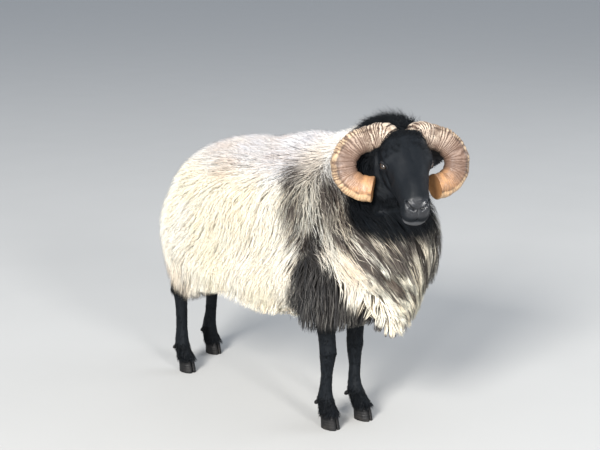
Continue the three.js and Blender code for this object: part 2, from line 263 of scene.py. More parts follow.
def welded(names, push):
    """CAD nodes as one bmesh, their points pushed outwards so that the gaps between them close."""
    joined = bmesh.new()
    for name in names:
        joined.from_mesh(NODES[name].data)
    bmesh.ops.remove_doubles(joined, verts=joined.verts, dist=1e-5)
    joined.normal_update()
    for v in joined.verts:
        v.co += v.normal * push
    return joined


def largest_island(body):
    """Deletes all but the largest connected piece of a bmesh."""
    body.verts.ensure_lookup_table()
    seen, best = set(), []
    for start in body.verts:
        if start in seen:
            continue
        island, front = [], [start]
        seen.add(start)
        while front:
            v = front.pop()
            island.append(v)
            for e in v.link_edges:
                other = e.other_vert(v)
                if other not in seen:
                    seen.add(other)
                    front.append(other)
        if len(island) > len(best):
            best = island
    keep = set(best)
    bmesh.ops.delete(body, geom=[v for v in body.verts if v not in keep], context="VERTS")


def finer_where(body, inside):
    """Halves the squares whose middle is inside."""
    middles = np.array([f.calc_center_median() for f in body.faces])
    chosen = inside(middles)
    edges = {e for f, yes in zip(body.faces, chosen) if yes for e in f.edges}
    bmesh.ops.subdivide_edges(body, edges=list(edges), cuts=1, use_grid_fill=True)


def place_piece(name, mesh, material, replaced=()):
    """A mesh as a piece of the part, in place of the CAD nodes that it replaces."""
    mesh.materials.append(material)
    obj = new_object(name, mesh)
    if replaced:
        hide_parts(*replaced)
    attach(obj, BODY)


# ---- Where the long fleece ends ----
JAW_LINE = ((-110, -60), (-46, -88), (14, -80), (74, -60), (122, -60), (160, -54))
BARE_FACE_BACK = -26.0  # the fleece starts behind this, on the head
WOOL_DEPTH = 0.052
TAIL_DEPTH = 0.018
POLL_DEPTH = 0.016
POLL = np.array((0.014, -0.350, 0.805))  # middle of the black tuft behind the horns
POLL_CORE = (0.12, 0.10, 0.10)
POLL_REACH = (0.13, 0.11, 0.11)
FORE_AND_HIND = 0.16  # legs behind this are hind legs
HEAD_BOTTOM = 0.54  # short hair above this is on the head, below it on the legs
MANE_BACK = -0.345  # forward of this it is mane, even low down
FORE_WOOL = (0.292, 0.335)  # heights between which the leg wool begins
HIND_WOOL = (0.252, 0.312)


def jaw_height(along):
    line = np.array(JAW_LINE)
    return np.interp(along, line[:, 0], line[:, 1])


def near(points, middle, radii, soft=0.3):
    """1 inside an ellipsoid, 0 outside it, with a soft edge."""
    reach = np.linalg.norm((points - np.asarray(middle)) / np.asarray(radii), axis=1)
    return step_up(reach, 1 + soft, 1 - soft)


def fleece_share(points):
    """0 on the bare face and legs, 1 under the long fleece."""
    along, across, up = to_head(points).T
    behind = step_up(along, BARE_FACE_BACK, -82)
    under = up - jaw_height(along)
    chin = step_up(along, 40, 75) * step_up(under, -66, -32)
    below = step_up(under, 6, -40) * (1 - chin)
    beside = step_up(np.abs(across), 68, 92)
    off_head = np.maximum.reduce((behind, below, beside))
    y, z = points[:, 1], points[:, 2]
    leg = np.where(y > FORE_AND_HIND, step_up(z, *HIND_WOOL), step_up(z, *FORE_WOOL))
    return off_head * np.where(y < MANE_BACK, 1.0, leg)


def wool_depth(points):
    tail = step_up(points[:, 1], 0.452, 0.480) * step_up(np.abs(points[:, 0]), 0.075, 0.055)
    depth = blended(WOOL_DEPTH, (TAIL_DEPTH, tail), (POLL_DEPTH, near(points, POLL, POLL_CORE)))
    return depth * step_up(fleece_share(points), 0.3, 1.0)


# ---- Markings: one function of place for skin and coat ----
WHITE = np.array((0.88, 0.855, 0.81))
CREAM = np.array((0.87, 0.80, 0.645))
COOL_GREY = np.array((0.56, 0.54, 0.56))
STAIN = np.array((0.52, 0.38, 0.27))
BROWN_GREY = np.array((0.12, 0.100, 0.088))
# Black hair, its own colour, with a blue tint that is painted sheen
BLACK_WITH_BLUE_SHEEN = np.array((0.0050, 0.0065, 0.0085))

# A pale stripe runs from the withers down the neck's side and on along the edge of the mane.
PALE_STRIPE = (
    (0.125, -0.195, 0.720), (0.147, -0.225, 0.652), (0.165, -0.267, 0.584), (0.180, -0.327, 0.519),
    (0.154, -0.373, 0.472), (0.120, -0.392, 0.417), (0.050, -0.430, 0.349),
)
DARK_BAND = ((0.150, -0.145, 0.710), (0.157, -0.155, 0.690), (0.171, -0.165, 0.620), (0.185, -0.185, 0.550))

# Round marks: middle, radii, softness of the edge.
THROAT = ((-0.022, -0.41, 0.665), (0.164, 0.12, 0.118), 0.12)
MIDDLE_OF_MANE = ((-0.06, -0.45, 0.530), (0.095, 0.06, 0.075), 0.4)
CROWN = (POLL + (0, 0, 0.012), (0.125, 0.095, 0.10), 0.12)
TUFT = (POLL + (0, 0, 0.02), (0.085, 0.075, 0.085), 0.2)  # loose hairs stand here
UNDER_HORNS = ((0.11, -0.345, 0.750), (0.05, 0.06, 0.06), 0.5)  # on both sides
STAIN_ON_FLANK = ((-0.165, 0.14, 0.695), (0.05, 0.06, 0.04), 0.5)
STAIN_ON_STRIPE = ((-0.155, -0.375, 0.475), (0.03, 0.035, 0.035), 0.6)

# The same in the head's frame.
ROUND_JAW = ((20, 0, -60), (150, 122, 110), 0.13)
BEHIND_BROW = ((-62, 0, 22), (62, 88, 58), 0.2)


def markings(points):
    """Share of dark locks, the pale colour and the dark colour at each place."""
    x, y, z = points.T
    folded = points * (0, 1, 1) + np.abs(points) * (1, 0, 0)
    head = to_head(points)
    patches = cloud(points, 0.09)
    fine = cloud(points + 3.1, 0.035)
    wool = fleece_share(points)

    # Pale and dark locks mix on neck and mane, fewer of them dark low down and on the withers.
    neck = step_up(y, -0.16, -0.25)
    low = step_up(z, 0.60, 0.47)
    top = step_up(z, 0.68, 0.745) * step_up(y, -0.37, -0.30)
    band = step_up(nearest_distance(folded, DARK_BAND), 0.056, 0.016)
    stripe = step_up(nearest_distance(folded, PALE_STRIPE) / (0.030 + 0.024 * low), 1.1, 0.55)
    mixed = 0.01 + 0.70 * neck * (1 - low) + 0.42 * neck * low
    mixed = np.maximum(mixed * (1 - 0.85 * top), 0.62 * band) * (1 - 0.80 * stripe)

    # The dark shoulder widens downwards over the upper foreleg.
    drop = np.maximum(0.56 - z, 0)
    past = np.abs(y + 0.24 + 0.17 * drop) - (0.03 + 0.31 * drop) + 0.03 * (fine - 0.5)
    shoulder = step_up(past, 0.018, -0.018) * step_up(z, 0.60, 0.55)
    left_mane = step_up(x, -0.01, 0.05) * step_up(y, -0.33, -0.38) * step_up(z, 0.36, 0.43)
    breech = step_up(y, 0.20, 0.28) * step_up(z, 0.40, 0.34)
    throat = np.maximum(near(points, *THROAT), near(head, *ROUND_JAW))
    crown = (near(points, *CROWN), near(head, *BEHIND_BROW), near(folded, *UNDER_HORNS))
    crown = np.maximum.reduce(crown)
    bare = step_up(1 - wool, 0.25, 0.6)
    dark = np.maximum.reduce((
        mixed, 0.96 * shoulder, 0.80 * left_mane, 0.50 * near(points, *MIDDLE_OF_MANE),
        0.30 * breech, throat, crown, bare,
    ))
    dark = np.clip(dark + (fine - 0.5) * 0.4 * (dark > 0.1) * (dark < 0.9), 0, 1)

    upper = step_up(z, 0.64, 0.74)
    stained = np.maximum.reduce((
        0.8 * near(points, *STAIN_ON_FLANK), 0.7 * near(points, *STAIN_ON_STRIPE),
        0.45 * step_up(patches, 0.60, 0.9) * upper, 0.55 * breech,
    ))
    pale = blended(
        WHITE,
        (CREAM, np.clip(0.30 + 1.0 * patches - 0.7 * upper, 0, 1)[:, None]),
        (COOL_GREY, (upper * (0.5 + 0.5 * fine) * (1 - 0.7 * step_up(y, -0.1, -0.2)))[:, None]),
        (STAIN, (0.6 * stained)[:, None]),
    )
    shaded = np.maximum(band, step_up(y, -0.14, -0.19) * (1 - low) * (1 - top))
    pale = pale * (1 - (0.34 * shaded)[:, None])

    brown = np.clip(neck * (1 - throat) * (1 - 0.8 * shoulder) + 0.8 * band + breech, 0, 1)
    brown = 0.85 * brown * (1 - 0.7 * left_mane) * (1 - crown) * wool
    deep = blended(BLACK_WITH_BLUE_SHEEN, (BROWN_GREY, brown[:, None])) + (0.028 * shoulder * wool)[:, None]
    return dark, pale, deep


# ---- Skin ----
SKIN_VOXEL = 0.006
EYE_FINE = 36.0  # how far round an eye the skin is finer
EYE_SHARP = 22.0  # and how far it is finest
LIP_SHARP = 17.0  # the same round each sharp place
FACE_MIDDLE = (60, 0, -20)
FACE_REACH = 190.0
HALF_WAY = 0.5  # how far a round of smoothing moves a point
SHAPE_ROUNDS = 14  # of smoothing that keeps the size
FLEECE_ROUNDS = 26  # more of it where the fleece hides the shape
DEPTH_ROUNDS = 25
HIDDEN_ROUNDS = 24
PAINTED_SHADE_UNDER_FLEECE = 0.55  # painted shade: how much darker the skin is drawn under the fleece
GAP_CLOSE = 0.0006  # how far the flesh nodes are pushed out, so that they join
ROOT_BALLS = (  # under the skin on both sides of the head: middle in the head's frame, radius in metres
    (EYE_PLACE, 0.0139),
    ((-58, 27, 14), 0.030),  # horn
    ((-50, 47, -20), 0.015),  # ear
)
CORONET = (0.0215, 0.026, 0.007)  # radii of the band of skin round the top of the claws

# Strokes over the face, on both sides: a line, its half width, how far it pushes out.
FACE_STROKES = (
    (((-18, 58, 15), (10, 57, 17)), 8, 3.2),  # brow
    (((22, 54, -10), (50, 45, -26)), 5, -3.0),  # tear groove
    (((6, 60, -28), (58, 42, -36)), 9, 2.6),  # cheekbone
    (((142, 9, -9), (139, 16, -8), (133, 23, -2), (127, 27, 2)), 3.4, -9.5),  # nostril
    (((141, 12, -1), (132, 24, 7), (122, 30, 0)), 4.6, 2.8),  # wing of the nostril
    (((143, 20, -19), (134, 30, -12)), 5, 2.0),  # rim under the nostril
    (((144, 0, -8), (152, 0, -34)), 2.2, -3.4),  # groove of the upper lip
    (((152, 0, -38), (147, 16, -41), (136, 28, -46), (114, 37, -51)), 2.7, -8.0),  # mouth
    (((142, 15, -31), (130, 29, -35)), 9, 2.8),  # upper lip
    (((146, 0, -52), (138, 18, -55), (120, 32, -58)), 6, 2.6),  # lower lip
    (((132, 0, -70),), 13, 2.4),  # chin
    (((62, 27, 24), (114, 21, 12)), 12, -2.2),  # sides of the nose's bridge
    (((30, 38, -66), (-20, 48, -76)), 20, 2.6),  # jaw
    (((0, 22, 44), (26, 16, 38)), 14, 2.0),  # forehead
    (((30, 0, 46), (8, 0, 52)), 7, -1.6),  # hollow between the brows
)
SHARP_PLACES = ((136, 18, -6), (147, 14, -38), (132, 30, -46))


def is_detailed(points):
    """True on the bare face and the bare legs."""
    return fleece_share(points) < 0.35


def mirrored_head(points):
    """Head frame with both sides laid over each other."""
    return to_head(points) * (1, 0, 1) + np.abs(to_head(points)) * (0, 1, 0)


def is_finest(points):
    head = mirrored_head(points)
    eye = np.linalg.norm(head - EYE_PLACE, axis=1) < EYE_FINE
    muzzle = (head[:, 0] > 96) & (head[:, 1] < 60) & (head[:, 2] > -90)
    return eye | muzzle


def is_sharpest(points):
    head = mirrored_head(points)
    sharp = np.linalg.norm(head - EYE_PLACE, axis=1) < EYE_SHARP
    for place in SHARP_PLACES:
        sharp |= np.linalg.norm(head - place, axis=1) < LIP_SHARP
    return sharp


def sculpted_face(points, normals):
    folded = mirrored_head(points)
    near_face = np.linalg.norm(folded - FACE_MIDDLE, axis=1) < FACE_REACH
    push = np.zeros(len(points))
    for line, width, far in FACE_STROKES:
        line = line if len(line) > 1 else line * 2
        push[near_face] += far * np.exp(-((nearest_distance(folded[near_face], line) / width) ** 2))
    return points + normals * push[:, None] * MM


# ---- Where an eye looks, and its lids ----
GAZE = np.array((0.50, 0.80, 0.30))
UP_IN_HEAD = np.array((-math.sin(HEAD_DIP), 0.0, math.cos(HEAD_DIP)))
LID_RADIUS = 15.2
LID_SINK = 11.0
LID_HALF_LENGTH = 12.8
LID_HALF_HEIGHT = 7.4
LID_TILT = math.radians(14)
LID_REACH = 27.0  # how far from the eye's centre the skin is drawn
LID_FADE = 21.0
RIM_SNAP = 0.14  # points this near the opening's edge move onto it, as a share of its size
NOSE_END, FAR_END = 1.12, 0.94  # the opening is longer towards the nose


def eye_axes(side):
    """Rows: level and away from the nose, up, and out along the gaze."""
    gaze = unit(GAZE * (1, side, 1))
    level = side * unit(np.cross(UP_IN_HEAD, gaze))
    upward = unit(UP_IN_HEAD - gaze * (gaze @ UP_IN_HEAD))
    return np.stack((level, upward, gaze))


def set_lids(points):
    """Draws the skin round each eye over the ball, with an almond opening that dips towards the nose."""
    head = to_head(points)
    turn = np.array(((math.cos(LID_TILT), math.sin(LID_TILT)), (-math.sin(LID_TILT), math.cos(LID_TILT))))
    for side in SIDES.values():
        centre = EYE_PLACE * (1, side, 1)
        axes = eye_axes(side)
        local = (head - centre) @ axes.T
        near_eye = (np.linalg.norm(local, axis=1) < LID_REACH) & (local[:, 2] > -3)
        flat = local[:, :2] @ turn.T
        longer = np.where(flat[:, 0] < 0, NOSE_END, FAR_END)
        reach = np.hypot(flat[:, 0] / (LID_HALF_LENGTH * longer), flat[:, 1] / LID_HALF_HEIGHT)
        opening = near_eye & (local[:, 2] > 0) & (reach < 1)
        rim = near_eye & (np.abs(reach - 1) < RIM_SNAP)
        flat = flat * np.where(rim, 1 / np.maximum(reach, 0.2), 1.0)[:, None]
        spread = np.linalg.norm(flat, axis=1)
        lid = np.sqrt(np.maximum(LID_RADIUS**2 - spread**2, 0))
        sunk = np.sqrt(np.maximum(LID_SINK**2 - spread**2, 0))
        own = local[:, 2]
        swell = 1.3 * np.exp(-(((reach - 1.16) / 0.12) ** 2))
        crease = -1.8 * np.exp(-(((reach - 1.55) / 0.14) ** 2)) * (flat[:, 1] > -1)
        over = np.maximum(lid, own) + 0.9 * np.exp(-np.abs(lid - own) / 3.0) + swell + crease
        covered = near_eye & (spread < LID_RADIUS) & (own > 0)
        fade = step_up(np.linalg.norm(local, axis=1), LID_REACH, LID_FADE)
        height = np.where(opening, sunk, np.where(covered, over, own + (swell + crease) * fade))
        local[near_eye, :2] = (flat @ turn)[near_eye]
        local[near_eye, 2] = height[near_eye]
        head[near_eye] = (local @ axes + centre)[near_eye]
    return from_head(head)


EAR_LENGTH = 104.0
EAR_WIDTH = 60.0
EAR_ALONG = np.array((-0.34, 0.76, -0.55))
EAR_WIDE = np.array((0.62, -0.1, -0.6))
EAR_FROM = np.array((-50.0, 50.0, -26.0))
EAR_STEPS = 30
EAR_SIDES = 28


def ear_surface(side):
    """A rolled leaf: points, faces, and the way that its hair lies."""
    along = EAR_ALONG / np.linalg.norm(EAR_ALONG)
    wide = EAR_WIDE - along * (EAR_WIDE @ along)
    wide /= np.linalg.norm(wide)
    face = np.cross(along, wide)
    t = np.linspace(0, 1, EAR_STEPS)[:, None]
    angle = np.linspace(0, 2 * np.pi, EAR_SIDES, endpoint=False)[None, :]
    half = EAR_WIDTH / 2 * np.sin(np.pi * (0.2 + 0.77 * t) ** 0.9) + 1.2
    thick = 4.2 + (1.2 - 4.2) * t
    u = np.sign(np.cos(angle)) * np.abs(np.cos(angle)) ** 0.8
    fold = (1 - u**2) * half * 0.38 + np.sin(angle) * thick
    droop = -8.0 * t**2
    place = (
        EAR_FROM
        + (t * EAR_LENGTH)[..., None] * along
        + (u * half)[..., None] * wide
        + (fold + droop * 0.4)[..., None] * face
    )
    place = place.reshape(-1, 3) * (1, side, 1)
    lie = unit((along * (1, side, 1)) @ HEAD_AXES.T)
    return from_head(place), grid_faces(EAR_STEPS, EAR_SIDES, side), lie


def grid_faces(rings, sides, side):
    """Squares between rings of points, and a cap on each end, turned for the ram's left or right side."""
    faces = []
    for r in range(rings - 1):
        for s in range(sides):
            a, b = r * sides + s, r * sides + (s + 1) % sides
            faces.append((a, b, b + sides, a + sides))
    faces.append(tuple(range(sides))[::-1])
    faces.append(tuple((rings - 1) * sides + s for s in range(sides)))
    return faces if side > 0 else [f[::-1] for f in faces]


class Surface:
    """A closed surface to grow hair on: the outer shape, the skin under it, and a finder of places."""

    def __init__(self, outer, skin, triangles, lie=None):
        self.outer, self.skin, self.triangles, self.lie = outer, skin, triangles, lie
        corner = outer[triangles]
        cross = np.cross(corner[:, 1] - corner[:, 0], corner[:, 2] - corner[:, 0])
        self.area = np.linalg.norm(cross, axis=1) / 2
        flat = np.zeros_like(outer)
        for k in range(3):
            for axis in range(3):
                flat[:, axis] += np.bincount(triangles[:, k], weights=cross[:, axis], minlength=len(outer))
        self.normals = unit(flat)
        self.tree = BVHTree.FromPolygons(outer.tolist(), triangles.tolist(), all_triangles=True)

    def nearest(self, places):
        """The nearest places on the outer shape, with smooth normals."""
        found = np.empty_like(places)
        which = np.empty(len(places), int)
        for i, place in enumerate(places):
            at, _, index, _ = self.tree.find_nearest(place)
            found[i] = at
            which[i] = index
        weights = barycentric(found, self.outer[self.triangles[which]])
        normals = unit((self.normals[self.triangles[which]] * weights[..., None]).sum(1))
        return found, normals

    def scatter(self, count, density, rng):
        """Random roots: outer place, skin place, normal and triangle number."""
        share = np.maximum(self.area * density, 0)
        which = rng.choice(len(share), count, p=share / share.sum())
        a, b = rng.random(count), rng.random(count)
        turn = a + b > 1
        a, b = np.where(turn, 1 - a, a), np.where(turn, 1 - b, b)
        weights = np.stack((1 - a - b, a, b), 1)[..., None]
        corner = self.triangles[which]
        outer = (self.outer[corner] * weights).sum(1)
        skin = (self.skin[corner] * weights).sum(1)
        normal = unit((self.normals[corner] * weights).sum(1))
        return outer, skin, normal, which


def barycentric(points, corners):
    a, b, c = corners[:, 0], corners[:, 1], corners[:, 2]
    v0, v1, v2 = b - a, c - a, points - a
    d00, d01, d11 = (v0 * v0).sum(1), (v0 * v1).sum(1), (v1 * v1).sum(1)
    d20, d21 = (v2 * v0).sum(1), (v2 * v1).sum(1)
    low = np.maximum(d00 * d11 - d01 * d01, 1e-18)
    v = (d11 * d20 - d01 * d21) / low
    w = (d00 * d21 - d01 * d20) / low
    return np.stack((1 - v - w, v, w), 1)


class Unwrap:
    """A coarse unwrap of the skin's own shape, to look up a place's spot on the bake map."""

    VOXEL = 0.014

    def __init__(self, mesh):
        source = bmesh.new()
        source.from_mesh(mesh)
        coarse = remeshed(source, self.VOXEL)
        obj = new_object("unwrap", coarse)
        bpy.context.view_layer.objects.active = obj
        obj.select_set(True)
        coarse.uv_layers.new(name=BAKE_UV)
        bpy.ops.object.mode_set(mode="EDIT")
        bpy.ops.mesh.select_all(action="SELECT")
        bpy.ops.uv.smart_project(angle_limit=math.radians(66), island_margin=0.004)
        bpy.ops.object.mode_set(mode="OBJECT")
        self.places = points_of(coarse)
        self.triangles = triangles_of(coarse)
        corners = read(coarse.loop_triangles, "loops", 3, np.int32)
        self.spots = read(coarse.uv_layers[BAKE_UV].data, "uv", 2)[corners].astype(float)
        self.tree = BVHTree.FromPolygons(self.places.tolist(), self.triangles.tolist(), all_triangles=True)
        bpy.data.objects.remove(obj)

    def triangle_at(self, places):
        return np.array([self.tree.find_nearest(p)[2] for p in places])

    def spot(self, places, which=None):
        """The spot on the bake map of each place, by the triangle nearest to it or a given one."""
        which = self.triangle_at(places) if which is None else which
        weights = barycentric(places, self.places[self.triangles[which]])
        return np.clip((self.spots[which] * weights[..., None]).sum(1), 0.002, 0.998)


SHOP = {}  # what one operator leaves for the next: surfaces and the unwrap


def skin_body():
    """The flesh nodes as one closed mesh, finer on face and muzzle and finest round eyes and lips."""
    flesh = welded(FLESH, GAP_CLOSE)
    for side in SIDES.values():
        for middle, radius in ROOT_BALLS:
            add_ball(flesh, from_head(np.asarray(middle) * (1, side, 1)), radius)
    for leg in LEGS:
        low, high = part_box(leg + "_claw_outer")
        other_low, other_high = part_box(leg + "_claw_inner")
        middle = (low + high + other_low + other_high) / 4
        add_ball(flesh, (middle.x, middle.y + 0.006, high.z), CORONET)
    body = bmesh.new()
    body.from_mesh(remeshed(flesh, SKIN_VOXEL))
    largest_island(body)
    for inside in (is_detailed, is_finest, is_sharpest):
        finer_where(body, inside)
    mesh = bpy.data.meshes.new("skin")
    body.to_mesh(mesh)
    body.free()
    return mesh


def build_skin():
    mesh = skin_body()
    edges = edges_of(mesh)
    outer = points_of(mesh)
    bare = 1 - step_up(fleece_share(outer), 0.2, 0.6)
    outer = relaxed(outer, edges, SHAPE_ROUNDS, HALF_WAY, back=1.04)
    outer = relaxed(outer, edges, FLEECE_ROUNDS, HALF_WAY * (1 - bare))
    set_points(mesh, outer)
    normals = read(mesh.vertex_normals, "vector", 3).astype(float)
    wool = fleece_share(outer)
    depth = relaxed(wool_depth(outer)[:, None], edges, DEPTH_ROUNDS, HALF_WAY)
    depth = depth * step_up(wool, 0.0, 0.15)[:, None]
    hidden = step_up(depth[:, 0], 0.002, 0.02)
    skin = relaxed(outer - normals * depth, edges, HIDDEN_ROUNDS, HALF_WAY * hidden)
    skin = set_lids(blended(sculpted_face(skin, normals), (skin, wool[:, None])))
    set_points(mesh, skin)
    SHOP["body"] = Surface(outer, skin, triangles_of(mesh))
    SHOP["unwrap"] = Unwrap(mesh)

    places, outer_places, faces = [skin], [outer], [tuple(p.vertices) for p in mesh.polygons]
    for name, side in SIDES.items():
        ear, ear_faces, lie = ear_surface(side)
        SHOP["ear_" + name] = Surface(ear, ear, triangles_of(new_mesh("ear", ear, ear_faces)), lie)
        offset = sum(map(len, places))
        faces += [tuple(i + offset for i in f) for f in ear_faces]
        places.append(ear)
        outer_places.append(ear)
    places, outer_places = np.concatenate(places), np.concatenate(outer_places)
    whole = new_mesh("skin", places, faces)
    dark, pale, deep = markings(outer_places)
    dark[len(skin):] = 1
    tone = blended(pale, (deep, step_up(dark, 0.3, 0.7)[:, None]))
    # Painted shade: the skin darker where the fleece covers it
    set_coat_colour(whole, tone * (1 - PAINTED_SHADE_UNDER_FLEECE * fleece_share(outer_places))[:, None])
    along, across, up = to_head(places).T
    wet = step_up(along, 122, 134) * step_up(np.abs(across), 33, 24) * step_up(up, -34, -22)
    to_eye = np.linalg.norm(mirrored_head(places) - EYE_PLACE, axis=1)
    set_values(whole, "wet", np.maximum(wet, step_up(to_eye, 17.5, 15.5)))
    lip = step_up(np.abs(up + 50), 9, 3) * step_up(along, 112, 134) * step_up(along, 160, 150)
    set_values(whole, "lip", lip)
    map_skin(whole)
    ears = tuple("ear_" + name for name in SIDES)
    place_piece("skin", whole, painted("skin_and_short_hair", paint_skin), FLESH + ears)


def map_skin(mesh):
    which = SHOP["unwrap"].triangle_at(read(mesh.polygons, "center", 3).astype(float))
    totals = read(mesh.polygons, "loop_total", 1, np.int32)[:, 0]
    corners = read(mesh.loops, "vertex_index", 1, np.int32)[:, 0]
    set_bake_map(mesh, SHOP["unwrap"].spot(points_of(mesh)[corners], np.repeat(which, totals)))


# ---- Coat ----
TUFT_PATCH = 0.003  # a tuft's size on the bake map
SIDES_OF_LOCK = np.array((90, 210, 330)) * math.pi / 180
LOCK_THICKNESS = 0.32  # of its width
STRANDS_ACROSS = 900  # how finely the shading's strands lie across a lock
STRANDS_ALONG = 40  # and along it
NEXT_LOCK = 7.3  # how far apart two locks lie in the strands' noise


class Locks:
    """The middle lines of many locks, and what each needs to become a mesh; a colour for each station."""

    def __init__(self, roots, paths, normals, width, colours):
        self.roots, self.paths, self.normals = roots, paths, normals
        self.width, self.colours = width, colours

    def part(self, chosen):
        kept = (self.roots, self.paths, self.normals, self.width, self.colours)
        return Locks(*(values[chosen] for values in kept))


def lock_mesh(name, locks):
    """Closed three-sided locks that taper to a point, from their middle lines."""
    count, stations = locks.paths.shape[:2]
    rings = stations - 1
    t = np.arange(stations) / rings
    heading = unit(np.gradient(locks.paths, axis=1))
    side = unit(np.cross(heading, locks.normals))
    lift = np.cross(side, heading)
    taper = (0.55 + 0.45 * np.sin(np.pi * np.minimum(t[:-1] * 1.5, 1) ** 0.8)) * (1 - t[:-1] ** 2.2 * 0.82)
    half = locks.width[:, None] / 2 * taper
    c, s = np.cos(SIDES_OF_LOCK), np.sin(SIDES_OF_LOCK) * LOCK_THICKNESS
    ring = (
        locks.paths[:, :-1, None]
        + (half[:, :, None] * c)[..., None] * side[:, :-1, None]
        + (half[:, :, None] * s)[..., None] * lift[:, :-1, None]
    )
    places = np.concatenate((ring.reshape(count, rings * 3, 3), locks.paths[:, -1:]), axis=1)
    per_lock = rings * 3 + 1
    faces = [(0, 2, 1)]
    for r in range(rings - 1):
        for k in range(3):
            a, b = r * 3 + k, r * 3 + (k + 1) % 3
            faces += [(a, b, b + 3), (a, b + 3, a + 3)]
    last = (rings - 1) * 3
    faces += [(last + k, last + (k + 1) % 3, rings * 3) for k in range(3)]
    faces = (np.arange(count)[:, None, None] * per_lock + np.array(faces)[None]).reshape(-1, 3)
    mesh = new_mesh(name, places.reshape(-1, 3), faces)

    reach = np.append(np.repeat(t[:-1], 3), 1.0)
    around = np.append(np.tile(np.arange(3) / 2 - 0.5, rings), 0.0)
    colours = np.concatenate((np.repeat(locks.colours[:, :-1], 3, axis=1), locks.colours[:, -1:]), axis=1)
    set_coat_colour(mesh, colours.reshape(-1, 3))
    lengths = np.linalg.norm(np.diff(locks.paths, axis=1), axis=2).sum(1)
    strand = np.empty((count, per_lock, 3))
    strand[..., 0] = around * locks.width[:, None] * STRANDS_ACROSS + np.arange(count)[:, None] * NEXT_LOCK
    strand[..., 1] = reach * lengths[:, None] * STRANDS_ALONG
    strand[..., 2] = 0.5
    set_values(mesh, "strand", strand, "FLOAT_VECTOR", "vector")
    spots = SHOP["unwrap"].spot(locks.roots)
    patch = np.stack((around, reach - 0.5), 1) * TUFT_PATCH
    set_bake_map(mesh, (spots[:, None] + patch[None]).reshape(-1, 2)[faces.ravel()])
    return mesh


def coat_piece(name, locks):
    place_piece(name, lock_mesh(name, locks), painted("wool_and_hair", paint_coat))


MANE_TIP = np.array((-0.015, -0.470, 0.12))  # the mane's locks run towards this place
HIGHEST_TIP = 0.905
STRAIGHT_DOWN = np.array((0.0, 0.0, -1.0))
BACKWARD = np.array((0.0, 1.0, 0.0))


def lie_of_coat(places, normals):
    """Which way the long coat runs over the surface at each place."""
    x, y, z = places.T[..., None]
    leg = step_up(z, 0.53, 0.47) * step_up(y, -0.345, -0.31)
    mane = step_up(y, -0.17, -0.25) * step_up(z, 0.80, 0.72) * (1 - leg)
    rump = step_up(y, 0.08, 0.30)
    top = step_up(normals[:, 2:], 0.25, 0.85)
    way = STRAIGHT_DOWN + BACKWARD * (0.06 + 0.50 * rump + 1.1 * top) * (1 - mane)
    forward = 0.75 * step_up(y, -0.46, -0.38)
    across = 0.50 * step_up(y, -0.36, -0.43) * step_up(x, 0.09, -0.01)
    sweep = across * (1.0, 0.0, 0.0) - forward * BACKWARD
    way = way * (1 - mane) + mane * (unit(MANE_TIP - places) + sweep)
    poll = near(places, POLL, POLL_CORE)[:, None]
    return way * (1 - poll) + poll * (BACKWARD * 0.9 + 0.5 * unit(places - POLL))


# How low the tips may hang along the belly and the legs: place from front to back, height.
FRINGE = (
    (-0.33, 0.335), (-0.300, 0.318), (-0.265, 0.304), (-0.220, 0.314), (-0.195, 0.390), (-0.165, 0.380),
    (-0.140, 0.345), (-0.080, 0.340), (0.000, 0.345), (0.100, 0.352), (0.190, 0.335), (0.240, 0.300),
    (0.330, 0.262), (0.450, 0.272), (0.470, 0.400), (0.500, 0.400),
)
BIB_TIP = (-0.03, 0.316)  # across, height
BIB_SLOPE = 1.1
BIB_HIGHEST = 0.43


def wool_floor(places):
    """How low the tips may hang at each place."""
    x, y = places[:, 0], places[:, 1]
    along, height = np.array(FRINGE).T
    bib = BIB_TIP[1] + BIB_SLOPE * np.maximum(np.abs(x - BIB_TIP[0]) - 0.02, 0)
    bib = np.minimum(bib, BIB_HIGHEST)
    return blended(np.interp(y, along, height), (bib, step_up(y, -0.335, -0.375)))


def mane_share(places):
    y, z = places[:, 1], places[:, 2]
    leg = step_up(z, 0.42, 0.38) * step_up(y, -0.36, -0.33)
    return step_up(y, -0.24, -0.33) * step_up(z, 0.76, 0.64) * (1 - leg)


def fleece_length(places, normals):
    y, z = places[:, 1], places[:, 2]
    mane = mane_share(places)
    length = blended(
        0.125,
        (0.105, step_up(normals[:, 2], 0.45, 0.85)),  # back
        (0.210, mane),
        (0.115, step_up(y, 0.20, 0.32)),  # rump
        (0.085, step_up(z, 0.42, 0.36) * (1 - mane)),  # above the legs
        (0.085, near(places, POLL, POLL_REACH)),
    )
    return length * (0.30 + 0.70 * fleece_share(places))


def marched(surface, outer, skin, normals, length, stations, rng):
    """Middle lines that leave the skin, rise through the coat and run along its outer shape."""
    count = len(outer)
    depth = np.linalg.norm(outer - skin, axis=1)
    paths = np.empty((count, stations, 3))
    frames = np.empty((count, stations, 3))
    at, normal = outer.copy(), normals.copy()
    free = normal[:, 2] < -0.35
    stray = (rng.normal(0, 1, count) * (0.15 - 0.10 * mane_share(outer)))[:, None]
    lift = rng.uniform(-0.005, 0.007, count)
    step = (length / (stations - 1))[:, None]
    for k in range(stations):
        t = k / (stations - 1)
        sink = depth * (1 - t) ** 1.3 - lift * t
        paths[:, k] = at - normal * sink[:, None]
        frames[:, k] = normal
        if k + 1 == stations:
            break
        way = along_surface(lie_of_coat(at, normal), normal)
        way = unit(way + stray * np.cross(normal, way))
        falling = unit(STRAIGHT_DOWN - normal * (0.25, 0.25, 0.0))
        way = np.where(free[:, None], falling, way)
        ahead = at + way * step
        moved, turned = surface.nearest(ahead)
        at = np.where(free[:, None], ahead, moved)
        normal = np.where(free[:, None], normal, turned)
        free = free | (normal[:, 2] < -0.30)
    return paths, frames


